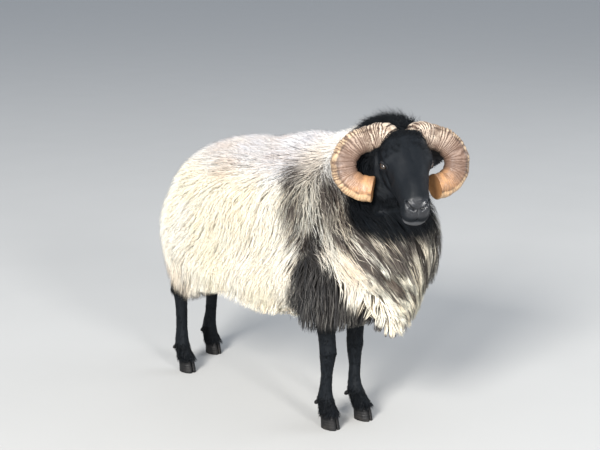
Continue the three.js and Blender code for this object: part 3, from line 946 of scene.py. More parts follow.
def gathered(roots, paths, size, pull, rng):
    """Draws neighbouring locks together towards their tips; also gives each lock's clump."""
    count = len(roots)
    guides = np.flatnonzero(rng.random(count) * size < 1)
    tree = KDTree(len(guides))
    for i, g in enumerate(guides):
        tree.insert(roots[g], i)
    tree.balance()
    clump = np.array([tree.find(r)[1] for r in roots])
    t = np.linspace(0, 1, paths.shape[1])[None, :, None]
    strength = (pull * rng.uniform(0.55, 1.0, len(guides))[clump])[:, None, None]
    target = paths[guides][clump]
    return paths + (target - paths) * strength * t**1.4, clump


def waved(paths, frames, clump, rng, size, turns):
    """Slight waves across each lock, alike within a clump."""
    clumps = clump.max() + 1
    phase = rng.uniform(0, 2 * np.pi, clumps)[clump][:, None]
    rate = rng.uniform(0.7, 1.3, clumps)[clump][:, None] * turns * 2 * np.pi
    t = np.linspace(0, 1, paths.shape[1])[None, :]
    heading = unit(np.gradient(paths, axis=1))
    side = unit(np.cross(heading, frames))
    sway = (size[:, None] * np.sin(phase + rate * t) * t)[..., None]
    bob = (size[:, None] * 0.5 * np.cos(phase * 1.7 + rate * t) * t)[..., None]
    return paths + side * sway + frames * bob


def shift_tips(paths, rise):
    """Lifts each tip by its own rise, and the rest of the lock less and less towards its root."""
    paths[:, :, 2] += rise[:, None] * np.linspace(0, 1, paths.shape[1]) ** 2


def lock_colours(paths, clump, rng, split=0.7, spread=0.065):
    """A colour for each station: pale or dark by the markings that a clump passes, with small variations, and
    painted shade that darkens each lock towards its root.
    """
    count, stations = paths.shape[:2]
    shown = paths[:, [max(1, k) for k in range(stations)]].reshape(-1, 3)
    dark, pale, deep = (part.reshape(count, stations, -1) for part in markings(shown))
    clumps = clump.max() + 1
    choice = 0.07 + 0.86 * (split * rng.random(clumps)[clump] + (1 - split) * rng.random(count))
    edge = step_up(dark - choice[:, None, None], -0.07, 0.07)
    colour = pale + (deep - pale) * edge
    tone = rng.normal(1.0, spread, clumps)[clump] * rng.normal(1.0, spread, count)
    warm = rng.normal(0, 0.03, clumps)[clump][:, None] * np.array((1.0, 0.0, -1.0))
    colour = colour * np.clip(tone, 0.65, 1.3)[:, None, None] * (1 + warm)[:, None]
    t = np.linspace(0, 1, stations)[None, :, None]
    mixed = (dark > 0.2) & (dark < 0.97)
    # Painted shade: each lock darker at its root, where the fleece is deep, and more so where pale and dark
    # locks mix
    painted_root_shade = np.where(edge > 0.5, 0.85, 0.80) * np.where(mixed, 0.66, 1.0)
    colour = colour * (painted_root_shade + (1.05 - painted_root_shade) * t)
    grey_tip = (rng.random(count) < 0.34)[:, None, None] * mixed * edge * step_up(t, 0.7, 1.0)
    return np.clip(colour + grey_tip * pale * 0.40, 0.003, 0.93)


# Stations along the middle line of a long lock, a loose hair and a short tuft.
LONG_STATIONS = 6
WISP_STATIONS = 4
SHORT_STATIONS = 3
MANE_PULL = 0.44  # how much more the mane's tips draw together
WAVE_TURNS = 1.9


def long_locks(settings, rng):
    surface = SHOP["body"]
    middle = surface.outer[surface.triangles].mean(1)
    density = step_up(fleece_share(middle), 0.03, 0.25) * (1 + 0.5 * near(middle, POLL, POLL_REACH))
    count = settings.long_locks
    outer, skin, normals, _ = surface.scatter(count, density, rng)
    length = fleece_length(outer, normals) * settings.length * rng.uniform(0.78, 1.12, count)
    room = skin[:, 2] - wool_floor(outer) - rng.uniform(-0.008, 0.018, count)
    flat_top = step_up(normals[:, 2], 0.2, 0.6)
    reach = np.maximum(room * (1 + flat_top), 0.018)
    length = np.where(normals[:, 2] < 0.6, np.minimum(length, reach), length)
    paths, frames = marched(surface, outer, skin, normals, length, LONG_STATIONS, rng)
    mane = mane_share(outer)
    size = settings.per_clump * (1 + 1.6 * mane)
    paths, clump = gathered(skin, paths, size, settings.pull + MANE_PULL * mane, rng)
    paths = waved(paths, frames, clump, rng, length * (0.050 - 0.036 * mane), WAVE_TURNS)
    low = wool_floor(paths[:, -1]) - 0.012
    shift_tips(paths, np.maximum(low - paths[:, -1, 2], 0))
    colours = lock_colours(paths, clump, rng, 0.60 + 0.36 * mane)
    width = settings.width * MM * rng.uniform(0.65, 1.2, count)
    width = width * (0.5 + 0.5 * fleece_share(outer)) * (1 + 0.5 * mane)
    return Locks(skin, paths, frames, width, colours), outer


def standing_wisps(density, count, height, lean, rng):
    """Thin loose hairs that stand out of the coat and bend over along its lie."""
    surface = SHOP["body"]
    outer, skin, normals, _ = surface.scatter(count, density, rng)
    way = along_surface(lie_of_coat(outer, normals) + rng.normal(0, 0.45, (count, 3)), normals)
    rise = unit(normals + way * lean + rng.normal(0, 0.28, (count, 3)))
    far = (rng.uniform(0.35, 1.0, count) ** 1.4 * height)[:, None]
    root = outer - normals * 0.012
    t = np.linspace(0, 1, WISP_STATIONS)[None, :, None]
    run = far[:, None] * t
    paths = root[:, None] + rise[:, None] * run * (1 - 0.35 * t) + way[:, None] * run * t * 0.75
    shift_tips(paths, -np.maximum(paths[:, -1, 2] - HIGHEST_TIP, 0))
    frames = np.repeat(normals[:, None], WISP_STATIONS, axis=1)
    colours = lock_colours(paths, np.arange(count), rng, 1.0)
    return Locks(skin, paths, frames, rng.uniform(0.0014, 0.0026, count), colours)


def short_lie(places):
    """Which way the short hair of face and legs runs."""
    along, across, _ = to_head(places).T[..., None]
    head = step_up(places[:, 2:], 0.52, 0.56)
    outward = HEAD_AXES[:, 1] * np.sign(across)
    cheek = step_up(np.abs(across), 18, 46)
    way = -HEAD_AXES[:, 0] + outward * 0.25 * (1 - cheek) - HEAD_AXES[:, 2] * 0.45 * cheek
    curl = cloud(places, 0.012)[:, None] - 0.5
    way = way + step_up(along, 40, 0) * curl * 3.2 * HEAD_AXES[:, 1]
    return way * head + np.array((0.0, 0.15, -1.0)) * (1 - head)


def short_tufts(surface, density, count, length, width, rng):
    """Short hair on the body or on an ear, where it is black and all runs one way."""
    _, skin, normals, _ = surface.scatter(count, density, rng)
    way = short_lie(skin) if surface.lie is None else surface.lie
    way = along_surface(way + rng.normal(0, 0.16, (count, 3)), normals)
    far = length(skin) * rng.uniform(0.7, 1.2, count)
    t = np.linspace(0, 1, SHORT_STATIONS)[None, :, None]
    raised = (0.13 + 0.20 * step_up(far, 0.010, 0.020)) * rng.uniform(0.4, 1.4, count)
    run = far[:, None, None] * t
    up = run * raised[:, None, None] * (1 - 0.55 * t) - 0.0008
    paths = skin[:, None] + way[:, None] * run + normals[:, None] * up
    frames = np.repeat(normals[:, None], SHORT_STATIONS, axis=1)
    clump = np.arange(count) // 6
    colours = lock_colours(paths, clump, rng, spread=0.18)
    if surface.lie is not None:
        colours[:] = BLACK_WITH_BLUE_SHEEN * 1.3
    return Locks(skin, paths, frames, width(skin) * rng.uniform(0.8, 1.2, count), colours)


def short_length(places):
    along, across, up = to_head(places).T
    on_head = places[:, 2] > HEAD_BOTTOM
    return blended(
        np.where(on_head, 0.0075, 0.0120),
        (0.012, step_up(np.abs(across), 34, 52) * on_head * step_up(along, 90, 50)),  # cheek
        (0.0105, step_up(along, 60, -15) * step_up(up, 0, 30) * on_head),  # brow
        (0.0040, step_up(along, 80, 108) * step_up(up, -96, -80) * on_head),  # muzzle
        (np.where(on_head, 0.020, 0.034), step_up(fleece_share(places), 0.0, 0.3)),  # edge of the fleece
        (0.024, step_up(np.abs(places[:, 2] - 0.068), 0.03, 0.015) * (~on_head)),  # fetlock
    )


def short_width(places):
    width = np.where(places[:, 2] > HEAD_BOTTOM, 0.0013, 0.0024)
    return width + 0.0010 * step_up(fleece_share(places), 0.0, 0.3)


def ear_length(places):
    return np.full(len(places), 0.012)


def ear_width(places):
    return np.full(len(places), 0.0022)


def short_density(surface):
    middle = surface.skin[surface.triangles].mean(1)
    head = mirrored_head(middle)
    bare = step_up(fleece_share(surface.outer[surface.triangles].mean(1)), 0.6, 0.3)
    on_head = middle[:, 2] > HEAD_BOTTOM
    muzzle = step_up(head[:, 0], 98, 120) * step_up(head[:, 2], -96, -80)
    eye = step_up(np.linalg.norm(head - EYE_PLACE, axis=1), 18, 25)
    return bare * np.where(on_head, 1.9, 1.0) * (1 - muzzle) * np.where(on_head, eye, 1)


# ---- Horns ----
HORN_PATH = (
    (-62, 31, 16), (-76, 46, 18), (-80, 80, 3), (-70, 118, -7),
    (-44, 144, -30), (-12, 141, -56), (13, 113, -68), (28, 79, -63),
)
HORN_CURL = np.array((-38.0, 82.0, -30.0))
HORN_RADII = (32.0, 33.0)
HORN_FLATNESS = 0.84
HORN_SQUARE = 2.5  # 2 is an ellipse, more is squarer
HORN_STEPS = 420
HORN_SIDES = 48
CAP_RINGS = 8
CAP_HOLLOW = 1.2
GROOVE_AT = 0.92  # radians from the outer rim to the line that runs along the front face
KEEL_WIDTH = 0.42  # radians


def horn_relief(t, angle, side, settings):
    """Swelling of the horn at each ring and side, and how far each place lies on a ridge."""
    warp = 0.8 * np.sin(2 * np.pi * 2.3 * t + 1.0) + 0.5 * np.sin(2 * np.pi * 6.1 * t + 7 * side)
    round_horn = np.cos(angle) * 2.2, np.sin(angle) * 2.2 + 7 * side
    grid = np.stack(np.broadcast_arrays(t[:, None] * 55, *round_horn), -1)
    blotch = cloud(grid.reshape(-1, 3), 1.0).reshape(grid.shape[:2])
    phase = (settings.rings * t + warp)[:, None] + 0.14 * np.cos(2 * angle + 1) + 0.7 * (blotch - 0.5)
    ridge = np.abs(np.sin(np.pi * phase)) ** 1.2
    facing = 0.5 + 0.5 * np.cos(angle - 0.7)  # strongest between the outer rim and the front face
    young = 1 - 0.78 * step_up(t, 0.25, 0.85)[:, None]
    height = settings.ring_height * young * (0.25 + 0.75 * facing) * (0.55 + 0.9 * blotch)
    years = 0.022 * np.cos(2 * np.pi * settings.years * t)[:, None]
    keel = sum(0.045 * np.exp(-(((angle - turn) / KEEL_WIDTH) ** 2)) for turn in (0, 2 * np.pi))
    line = -0.035 * np.exp(-(((angle - GROOVE_AT) / 0.09) ** 2)) * step_up(t, 0.12, 0.3)[:, None]
    return 0.955 + years + (ridge - 0.5) * height + keel + line, ridge


def build_horn(name, side, settings):
    t = np.linspace(0, 1, HORN_STEPS)
    here = through(HORN_PATH, t)
    along = unit(through(HORN_PATH, t + 0.01) - through(HORN_PATH, t - 0.01))
    outward = along_surface(here - HORN_CURL, along)
    flank = np.cross(along, outward)
    angle = np.linspace(0, 2 * np.pi, HORN_SIDES, endpoint=False)
    swell, ridge = horn_relief(t, angle, side, settings)
    square = np.abs(np.cos(angle)) ** HORN_SQUARE + np.abs(np.sin(angle)) ** HORN_SQUARE
    square = square ** (-1 / HORN_SQUARE)
    size = HORN_RADII[0] + (HORN_RADII[1] - HORN_RADII[0]) * t[:, None]
    radius = size * swell * square * (1 - 0.04 * step_up(t, 0.988, 1.0))[:, None]
    ring = (
        here[:, None]
        + (radius * np.cos(angle))[..., None] * outward[:, None]
        + (radius * HORN_FLATNESS * np.sin(angle))[..., None] * flank[:, None]
    )
    rings = list(ring)
    rim, centre = ring[-1], ring[-1].mean(0)
    for r in range(1, CAP_RINGS):
        inner = 1 - r / CAP_RINGS
        rings.append(centre + (rim - centre) * inner - along[-1] * CAP_HOLLOW * (1 - inner**2))
    places = np.concatenate(rings) * (1, side, 1)
    mesh = new_mesh("horn_" + name, from_head(places), grid_faces(len(rings), HORN_SIDES, side))
    sharp_rim(mesh, (HORN_STEPS - 1) * HORN_SIDES, HORN_SIDES)
    capped = (CAP_RINGS - 1) * HORN_SIDES
    grown = np.append(np.repeat(t, HORN_SIDES), np.ones(capped))
    around = np.tile(angle, len(rings))
    set_values(mesh, "growth", grown)
    set_values(mesh, "outer_rim", np.cos(around))
    set_values(mesh, "ridge", np.append(ridge.ravel(), np.full(capped, 0.5)))
    set_values(mesh, "sawn", np.append(np.zeros(HORN_STEPS * HORN_SIDES), np.ones(capped)))
    set_values(mesh, "line", step_up(np.abs(around - GROOVE_AT), 0.16, 0.05) * step_up(grown, 0.12, 0.3))
    node = "horn_" + name
    place_piece(node + "_grown", mesh, painted("ringed_horn", paint_horn), (node,))


def sharp_rim(mesh, first, sides):
    """Marks the edge round a flat end as sharp."""
    attribute = mesh.attributes.new("sharp_edge", "BOOLEAN", "EDGE")
    sharp = np.isin(edges_of(mesh), np.arange(first, first + sides)).all(1)
    attribute.data.foreach_set("value", sharp)


# ---- Eyes ----
EYE_RADIUS = 13.4
CORNEA = 0.05  # how far the clear front stands out, of the radius


def build_eye(name, side):
    ball = bmesh.new()
    bmesh.ops.create_uvsphere(ball, u_segments=64, v_segments=48, radius=1)
    mesh = bpy.data.meshes.new("eye_" + name)
    ball.to_mesh(mesh)
    ball.free()
    mesh.shade_smooth()
    own = points_of(mesh)
    bulge = 1 + CORNEA * step_up(own[:, 2], 0.72, 0.88)
    axes = eye_axes(side)
    set_points(mesh, from_head(own * bulge[:, None] * EYE_RADIUS @ axes + EYE_PLACE * (1, side, 1)))
    if np.cross(axes[0], axes[1]) @ axes[2] < 0:
        mesh.flip_normals()
    set_values(mesh, "across", own[:, 0] * EYE_RADIUS)
    set_values(mesh, "up", own[:, 1] * EYE_RADIUS)
    node = "eye_" + name
    place_piece(node + "_ball", mesh, painted("dark_eye", paint_eye), (node,))


# ---- Hooves ----
HOOF_VOXEL = 0.0017
CLAW_ROUNDS = 8  # of smoothing
DEWCLAW_ROUNDS = 16  # more rounds make a blunter tip
SOLE = 0.0022  # below this a claw is flat on the ground


def blunter(places):
    """A dewclaw whose tip is drawn half way back to its middle."""
    middle = places.mean(0)
    long_way = np.linalg.svd(places - middle, full_matrices=False)[2][0]
    reach = (places - middle) @ long_way
    wide = [
        np.linalg.norm(along_surface(places[part] - middle, long_way), axis=1).mean()
        for part in (reach > 0.005, reach < -0.005)
    ]
    tip = 1.0 if wide[0] < wide[1] else -1.0
    return places - np.outer(0.5 * tip * np.maximum(reach * tip, 0), long_way)


def build_hoof(node):
    low, high = (np.array(corner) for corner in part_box(node))
    mesh = remeshed(welded((node,), 0.0), HOOF_VOXEL)
    mesh.name = node
    dewclaw = "dewclaw" in node
    places = relaxed(points_of(mesh), edges_of(mesh), DEWCLAW_ROUNDS if dewclaw else CLAW_ROUNDS, 0.5)
    if dewclaw:
        places = blunter(places)
    if low[2] < 0.005:
        places[:, 2] = np.where(places[:, 2] < SOLE, 0.0, places[:, 2])
        wave = 0.0005 * np.sin(places[:, 2] * 900) * step_up(places[:, 2], 0.004, 0.012)
        spread = (places - (low + high) / 2) * (1, 1, 0)
        places = places + unit(spread) * wave[:, None]
    set_points(mesh, places)
    mesh.shade_smooth()
    set_values(mesh, "height", (places[:, 2] - low[2]) / (high[2] - low[2]))
    place_piece(node + "_grown", mesh, painted("dark_hoof", paint_hoof), (node,))


# ---- Materials ----
class Nodes:
    """Short words for making shader nodes."""

    def __init__(self, tree):
        self.tree = tree

    def add(self, kind, settings=(), **inputs):
        node = self.tree.nodes.new(kind)
        for key, value in dict(settings).items():
            setattr(node, key, value)
        for key, value in inputs.items():
            self.feed(node.inputs[key.replace("_", " ")], value)
        return node

    def feed(self, socket, value):
        if isinstance(value, bpy.types.NodeSocket):
            self.tree.links.new(value, socket)
        else:
            socket.default_value = value

    def shade(self, shader, **inputs):
        """Feeds a shader's sockets, whose names are given with underscores for spaces."""
        for key, value in inputs.items():
            self.feed(shader[key.replace("_", " ")], value)

    def stored(self, name, output="Fac"):
        """A value that the mesh holds for each point."""
        return self.add("ShaderNodeAttribute", {"attribute_name": name}).outputs[output]

    def math(self, operation, *values):
        node = self.add("ShaderNodeMath", {"operation": operation})
        for socket, value in zip(node.inputs, values):
            self.feed(socket, value)
        return node.outputs[0]

    def times(self, a, b):
        return self.math("MULTIPLY", a, b)

    def range(self, value, low, high, to_low=0.0, to_high=1.0):
        node = self.add("ShaderNodeMapRange", {"interpolation_type": "SMOOTHSTEP"})
        for socket, given in zip(node.inputs, (value, low, high, to_low, to_high)):
            self.feed(socket, given)
        return node.outputs[0]

    def mix(self, share, a, b, blend="MIX"):
        """Colour a where share is 0, b where it is 1."""
        node = self.add("ShaderNodeMix", {"data_type": "RGBA", "blend_type": blend})
        for index, value in ((0, share), (6, a), (7, b)):
            self.feed(node.inputs[index], value if index == 0 else opaque(value))
        return node.outputs[2]

    def noise(self, scale, vector):
        return self.add("ShaderNodeTexNoise", Scale=scale, Detail=2.0, Vector=vector).outputs["Fac"]

    def bump(self, height, strength, distance):
        node = self.add("ShaderNodeBump", Height=height, Strength=strength, Distance=distance)
        return node.outputs["Normal"]

    def grain(self, scale, patches):
        """The fine_grain group with its own values: outputs Grain and Patch."""
        node = self.add("ShaderNodeGroup", {"node_tree": grain_group()}, Scale=scale, Patches=patches)
        return node.outputs["Grain"], node.outputs["Patch"]


def opaque(colour):
    """A colour with its alpha, or a socket as it is."""
    return colour if isinstance(colour, bpy.types.NodeSocket) else (*colour, 1)


def new_group(name, inputs, outputs):
    """A shader node group with named number, colour or vector sockets."""
    group = bpy.data.node_groups.new(name, "ShaderNodeTree")
    for label, kind, value in inputs:
        socket = group.interface.new_socket(name=label, in_out="INPUT", socket_type=kind)
        socket.default_value = value
    for label, kind in outputs:
        group.interface.new_socket(name=label, in_out="OUTPUT", socket_type=kind)
    entry = group.nodes.new("NodeGroupInput")
    leave = group.nodes.new("NodeGroupOutput")
    return group, Nodes(group), entry, leave


def grain_group():
    """Fine grain over a surface: a mask that varies softly and a height for bump."""
    if "fine_grain" in bpy.data.node_groups:
        return bpy.data.node_groups["fine_grain"]
    group, nodes, entry, leave = new_group(
        "fine_grain",
        (("Scale", "NodeSocketFloat", 400.0), ("Patches", "NodeSocketFloat", 30.0)),
        (("Grain", "NodeSocketFloat"), ("Patch", "NodeSocketFloat")),
    )
    place = nodes.add("ShaderNodeTexCoord").outputs["Object"]
    nodes.feed(leave.inputs["Grain"], nodes.noise(entry.outputs["Scale"], place))
    nodes.feed(leave.inputs["Patch"], nodes.noise(entry.outputs["Patches"], place))
    return group


def painted(name, paint, *given):
    """A material with one Principled shader, made and painted when it is first asked for."""
    if name not in bpy.data.materials:
        material = bpy.data.materials.new(name)
        material.use_nodes = True
        paint(Nodes(material.node_tree), material.node_tree.nodes["Principled BSDF"].inputs, *given)
    return bpy.data.materials[name]


def paint_coat(nodes, shader):
    _, patch = nodes.grain(900.0, 60.0)
    strands = nodes.noise(1.0, nodes.stored("strand", "Vector"))
    shade = nodes.range(strands, 0.30, 0.70, 0.74, 1.16)
    tone = nodes.add("ShaderNodeCombineColor", Red=shade, Green=shade, Blue=shade).outputs[0]
    hair = nodes.stored("coat_colour", "Color")
    brightness = nodes.add("ShaderNodeRGBToBW", Color=hair).outputs[0]
    nodes.shade(
        shader,
        Base_Color=nodes.mix(1.0, hair, tone, "MULTIPLY"),
        Roughness=nodes.range(patch, 0.3, 0.7, 0.50, 0.64),
        Specular_IOR_Level=nodes.range(brightness, 0.03, 0.4, 0.11, 0.30),
        Normal=nodes.bump(strands, 0.5, 0.0008),
    )


def paint_skin(nodes, shader):
    grain, patch = nodes.grain(700.0, 45.0)
    wet, lip = nodes.stored("wet"), nodes.stored("lip")
    base = nodes.mix(nodes.times(wet, 0.7), nodes.stored("coat_colour", "Color"), (0.010, 0.011, 0.014))
    rough = nodes.range(patch, 0.3, 0.7, 0.48, 0.66)
    strength = nodes.math("SUBTRACT", 0.55, nodes.times(wet, 0.25))
    nodes.shade(
        shader,
        Base_Color=nodes.mix(nodes.times(lip, 0.7), base, (0.11, 0.112, 0.118)),
        Roughness=nodes.math("SUBTRACT", rough, nodes.times(wet, 0.30)),
        Specular_IOR_Level=nodes.math("ADD", nodes.times(wet, 0.5), 0.10),
        Normal=nodes.bump(grain, strength, 0.0009),
    )


HORN_DARK = (0.030, 0.017, 0.011)
HORN_BROWN = (0.085, 0.048, 0.032)
HORN_TAN = (0.180, 0.120, 0.090)
HORN_PALE = (0.48, 0.395, 0.31)
HORN_AMBER = (0.47, 0.30, 0.165)
HORN_RUST = (0.38, 0.20, 0.09)
HORN_RIM = (0.46, 0.34, 0.21)
HORN_INNER = (0.105, 0.066, 0.050)
SAWN_LIGHT = (0.42, 0.225, 0.100)
SAWN_DARK = (0.25, 0.110, 0.045)


def paint_horn(nodes, shader):
    growth, rim, ridge = nodes.stored("growth"), nodes.stored("outer_rim"), nodes.stored("ridge")
    grain, patch = nodes.grain(320.0, 55.0)
    young = nodes.range(growth, 0.56, 0.20)
    on_rim = nodes.range(rim, 0.58, 0.66)
    crest = nodes.mix(young, HORN_TAN, HORN_PALE)
    crest = nodes.mix(nodes.times(on_rim, 0.8), crest, nodes.mix(young, HORN_RIM, HORN_PALE))
    valley = nodes.mix(young, HORN_BROWN, HORN_DARK)
    broken = nodes.math("ADD", ridge, nodes.range(grain, 0.3, 0.7, -0.32, 0.32))
    sharp = nodes.range(broken, nodes.range(young, 0, 1, 0.0, 0.22), 0.8)
    base = nodes.mix(sharp, valley, crest)
    base = nodes.mix(nodes.times(nodes.range(patch, 0.40, 0.64), 0.62), base, HORN_BROWN)
    base = nodes.mix(nodes.times(nodes.range(rim, 0.1, -0.7), 0.55), base, HORN_INNER)
    old = nodes.times(nodes.range(growth, 0.66, 0.97), nodes.range(patch, 0.3, 0.7, 1.0, 0.45))
    base = nodes.mix(old, base, nodes.mix(on_rim, HORN_RUST, HORN_AMBER))
    line = nodes.times(nodes.stored("line"), nodes.range(patch, 0.35, 0.65, 0.15, 0.8))
    base = nodes.mix(line, base, HORN_DARK)
    nodes.shade(
        shader,
        Base_Color=nodes.mix(nodes.stored("sawn"), base, nodes.mix(patch, SAWN_LIGHT, SAWN_DARK)),
        Roughness=nodes.range(growth, 0.3, 0.95, 0.55, 0.36),
        Specular_IOR_Level=0.4,
        Normal=nodes.bump(nodes.math("ADD", nodes.times(ridge, 0.8), grain), 0.5, 0.0009),
    )


def paint_hoof(nodes, shader):
    height = nodes.stored("height")
    grain, patch = nodes.grain(380.0, 60.0)
    lines = nodes.math("SINE", nodes.times(height, 70.0))
    worn = nodes.times(nodes.range(patch, 0.4, 0.75), nodes.range(height, 0.7, 0.0))
    nodes.shade(
        shader,
        Base_Color=nodes.mix(worn, (0.0045, 0.0045, 0.005), (0.018, 0.016, 0.014)),
        Roughness=nodes.range(patch, 0.3, 0.7, 0.5, 0.7),
        Specular_IOR_Level=0.25,
        Normal=nodes.bump(nodes.math("ADD", nodes.times(lines, 0.4), grain), 0.4, 0.0008),
    )


def paint_eye(nodes, shader):
    across, up = nodes.stored("across"), nodes.stored("up")
    far = nodes.math("SQRT", nodes.math("ADD", nodes.times(across, across), nodes.times(up, up)))
    pupil_long = nodes.range(nodes.math("ABSOLUTE", across), 4.6, 5.4, 1.0, 0.0)
    pupil_high = nodes.range(nodes.math("ABSOLUTE", up), 1.7, 2.3, 1.0, 0.0)
    iris = nodes.range(far, 8.6, 9.4, 1.0, 0.0)
    grain, _ = nodes.grain(900.0, 300.0)
    hazel = nodes.mix(grain, (0.009, 0.006, 0.004), (0.030, 0.018, 0.009))
    base = nodes.mix(iris, (0.02, 0.016, 0.014), hazel)
    nodes.shade(
        shader,
        Base_Color=nodes.mix(nodes.times(pupil_long, pupil_high), base, (0.002, 0.002, 0.003)),
        Roughness=0.06,
        Specular_IOR_Level=0.7,
        Coat_Weight=nodes.range(far, 13.0, 9.0, 0.5, 1.0),
        Coat_Roughness=0.03,
        Normal=nodes.bump(grain, 0.03, 0.0002),
    )


def paint_floor(nodes, shader, colour):
    grain, patch = nodes.grain(120.0, 3.0)
    nodes.shade(
        shader,
        Base_Color=nodes.mix(patch, tuple(colour), tuple(0.96 * v for v in colour)),
        Roughness=0.85,
        Normal=nodes.bump(grain, 0.05, 0.001),
    )


# ---- Settings ----
class RamCoatSettings(bpy.types.PropertyGroup):
    long_locks: IntProperty(name="Long locks", description="Locks in the fleece", default=35000, min=100)
    face_tufts: IntProperty(name="Short tufts", description="On face and legs", default=39000, min=100)
    ear_tufts: IntProperty(name="Ear tufts", description="Tufts on each ear", default=2200, min=10)
    tuft_hairs: IntProperty(name="Tuft hairs", description="Loose, on the crown", default=2400, min=10)
    wisps: IntProperty(name="Wisps", description="Loose hairs on the body", default=3000, min=10)
    per_clump: IntProperty(name="Clump", description="How many locks share a tip", default=7, min=1)
    length: FloatProperty(name="Length", description="Of the usual length", default=1.0, subtype="FACTOR")
    width: FloatProperty(name="Lock width", description="At the widest, in millimetres", default=3.1)
    pull: FloatProperty(name="Clumping", description="How far tips join", default=0.42, subtype="FACTOR")
    seed: IntProperty(name="Seed", description="Start of the random draws", default=7)


class RamHornSettings(bpy.types.PropertyGroup):
    years: FloatProperty(name="Years", description="Broad swellings along a horn", default=10.0)
    rings: FloatProperty(name="Rings", description="Fine rings along a horn", default=44.0)
    ring_height: FloatProperty(name="Ring height", description="Of the radius", default=0.075)


class RamStageSettings(bpy.types.PropertyGroup):
    eye_point: FloatVectorProperty(
        name="Camera place", description="Where the camera stands", default=(-2.228, -2.468, 1.305),
        subtype="TRANSLATION", unit="LENGTH")
    heading: FloatProperty(
        name="Heading", description="Clockwise from +Y", default=math.radians(42.27),
        subtype="ANGLE", unit="ROTATION")
    dip: FloatProperty(
        name="Dip", description="How far the camera looks down", default=math.radians(13.216),
        subtype="ANGLE", unit="ROTATION")
    lens: FloatProperty(name="Lens", description="For a 36 mm sensor", default=73.31, unit="CAMERA")
    floor_colour: FloatVectorProperty(
        name="Floor", description="Colour of the floor", default=(0.44, 0.44, 0.43), subtype="COLOR")
    key_place: FloatVectorProperty(
        name="Main light place", description="Where the main light hangs", default=(-9.4, -4.2, 6.2),
        subtype="TRANSLATION", unit="LENGTH")
    key: FloatProperty(name="Main light", description="Its strength in watts", default=2450.0)
    fill: FloatProperty(name="Front light", description="Its strength in watts", default=380.0)
    eye_light: FloatProperty(name="Eye light", description="Its strength in watts", default=140.0)


# ---- Stage ----
FLOOR_RADIUS = 40
FLOOR_SIDES = 64
SKY = (0.82, 0.89, 1.0)
SKY_STRENGTH = 0.7
AIM = Vector((0, 0, 0.5))  # the middle of the ram
FRONT_PLACE, FRONT_COLOUR = (-2.0, -7.2, 3.2), (1.0, 0.98, 0.96)
FILL_PLACE = (6.0, -3.2, 3.6)
EYE_LIGHT_PLACE = (-4.65, -2.30, 0.95)


def add_lamp(name, place, size, watts, colour):
    """A square soft lamp, turned towards the middle of the ram."""
    lamp = bpy.data.lights.new(name, "AREA")
    lamp.size = size
    lamp.energy = watts
    lamp.color = colour
    obj = new_object(name, lamp)
    obj.location = place
    obj.rotation_euler = (AIM - Vector(place)).to_track_quat("-Z", "Y").to_euler()


def add_floor(colour):
    angles = np.linspace(0, 2 * np.pi, FLOOR_SIDES, endpoint=False)
    ring = [(FLOOR_RADIUS * math.cos(a), FLOOR_RADIUS * math.sin(a), 0) for a in angles]
    mesh = new_mesh("floor", ring, [tuple(range(FLOOR_SIDES))])
    mesh.materials.append(painted("pale_floor", paint_floor, colour))
    floor = new_object("floor", mesh)


def add_sky(scene):
    world = bpy.data.worlds.new("studio")
    world.use_nodes = True
    background = world.node_tree.nodes["Background"]
    background.inputs["Color"].default_value = opaque(SKY)
    background.inputs["Strength"].default_value = SKY_STRENGTH
    scene.world = world
    scene.view_settings.view_transform = "Standard"


def add_camera(scene, settings):
    camera = bpy.data.cameras.new("camera")
    camera.lens = settings.lens
    camera.sensor_width = 36
    camera.dof.use_dof = False
    obj = new_object("camera", camera)
    obj.location = settings.eye_point
    obj.rotation_euler = (math.pi / 2 - settings.dip, 0, -settings.heading)
    scene.camera = obj


# ---- Operators ----
class RAM_OT_skin(bpy.types.Operator):
    """Make the skin, with the ears, folds and lids"""

    bl_idname = "ram.skin"
    bl_label = "Skin"

    def execute(self, context):
        build_skin()
        return {"FINISHED"}


# The long coat's pieces from front to back: name, and how far back it reaches.
COAT_PARTS = (("mane", -0.30), ("shoulder", -0.09), ("flank", 0.16), ("rump", 1.0))


class RAM_OT_fleece(bpy.types.Operator):
    """Grow the long fleece, mane, fringe and tuft"""

    bl_idname = "ram.fleece"
    bl_label = "Fleece"

    def execute(self, context):
        settings = context.scene.ram_coat
        locks, outer = long_locks(settings, np.random.default_rng(settings.seed))
        left = outer[:, 0] > 0
        start = -1.0
        for name, end in COAT_PARTS:
            inside = (outer[:, 1] >= start) & (outer[:, 1] < end)
            start = end
            if name == "mane":
                coat_piece("coat_mane", locks.part(inside))
                continue
            coat_piece(f"coat_{name}_left", locks.part(inside & left))
            coat_piece(f"coat_{name}_right", locks.part(inside & ~left))
        rng = np.random.default_rng(settings.seed + 2)
        middle = SHOP["body"].outer[SHOP["body"].triangles].mean(1)
        crown = near(middle, *TUFT) * step_up(middle[:, 2], 0.79, 0.82)
        coat_piece("coat_crown", standing_wisps(crown, settings.tuft_hairs, 0.046, 1.3, rng))
        loose = step_up(fleece_share(middle), 0.5, 1) * (0.25 + step_up(middle[:, 2], 0.5, 0.75))
        coat_piece("coat_wisps", standing_wisps(loose, settings.wisps, 0.030, 1.6, rng))
        return {"FINISHED"}


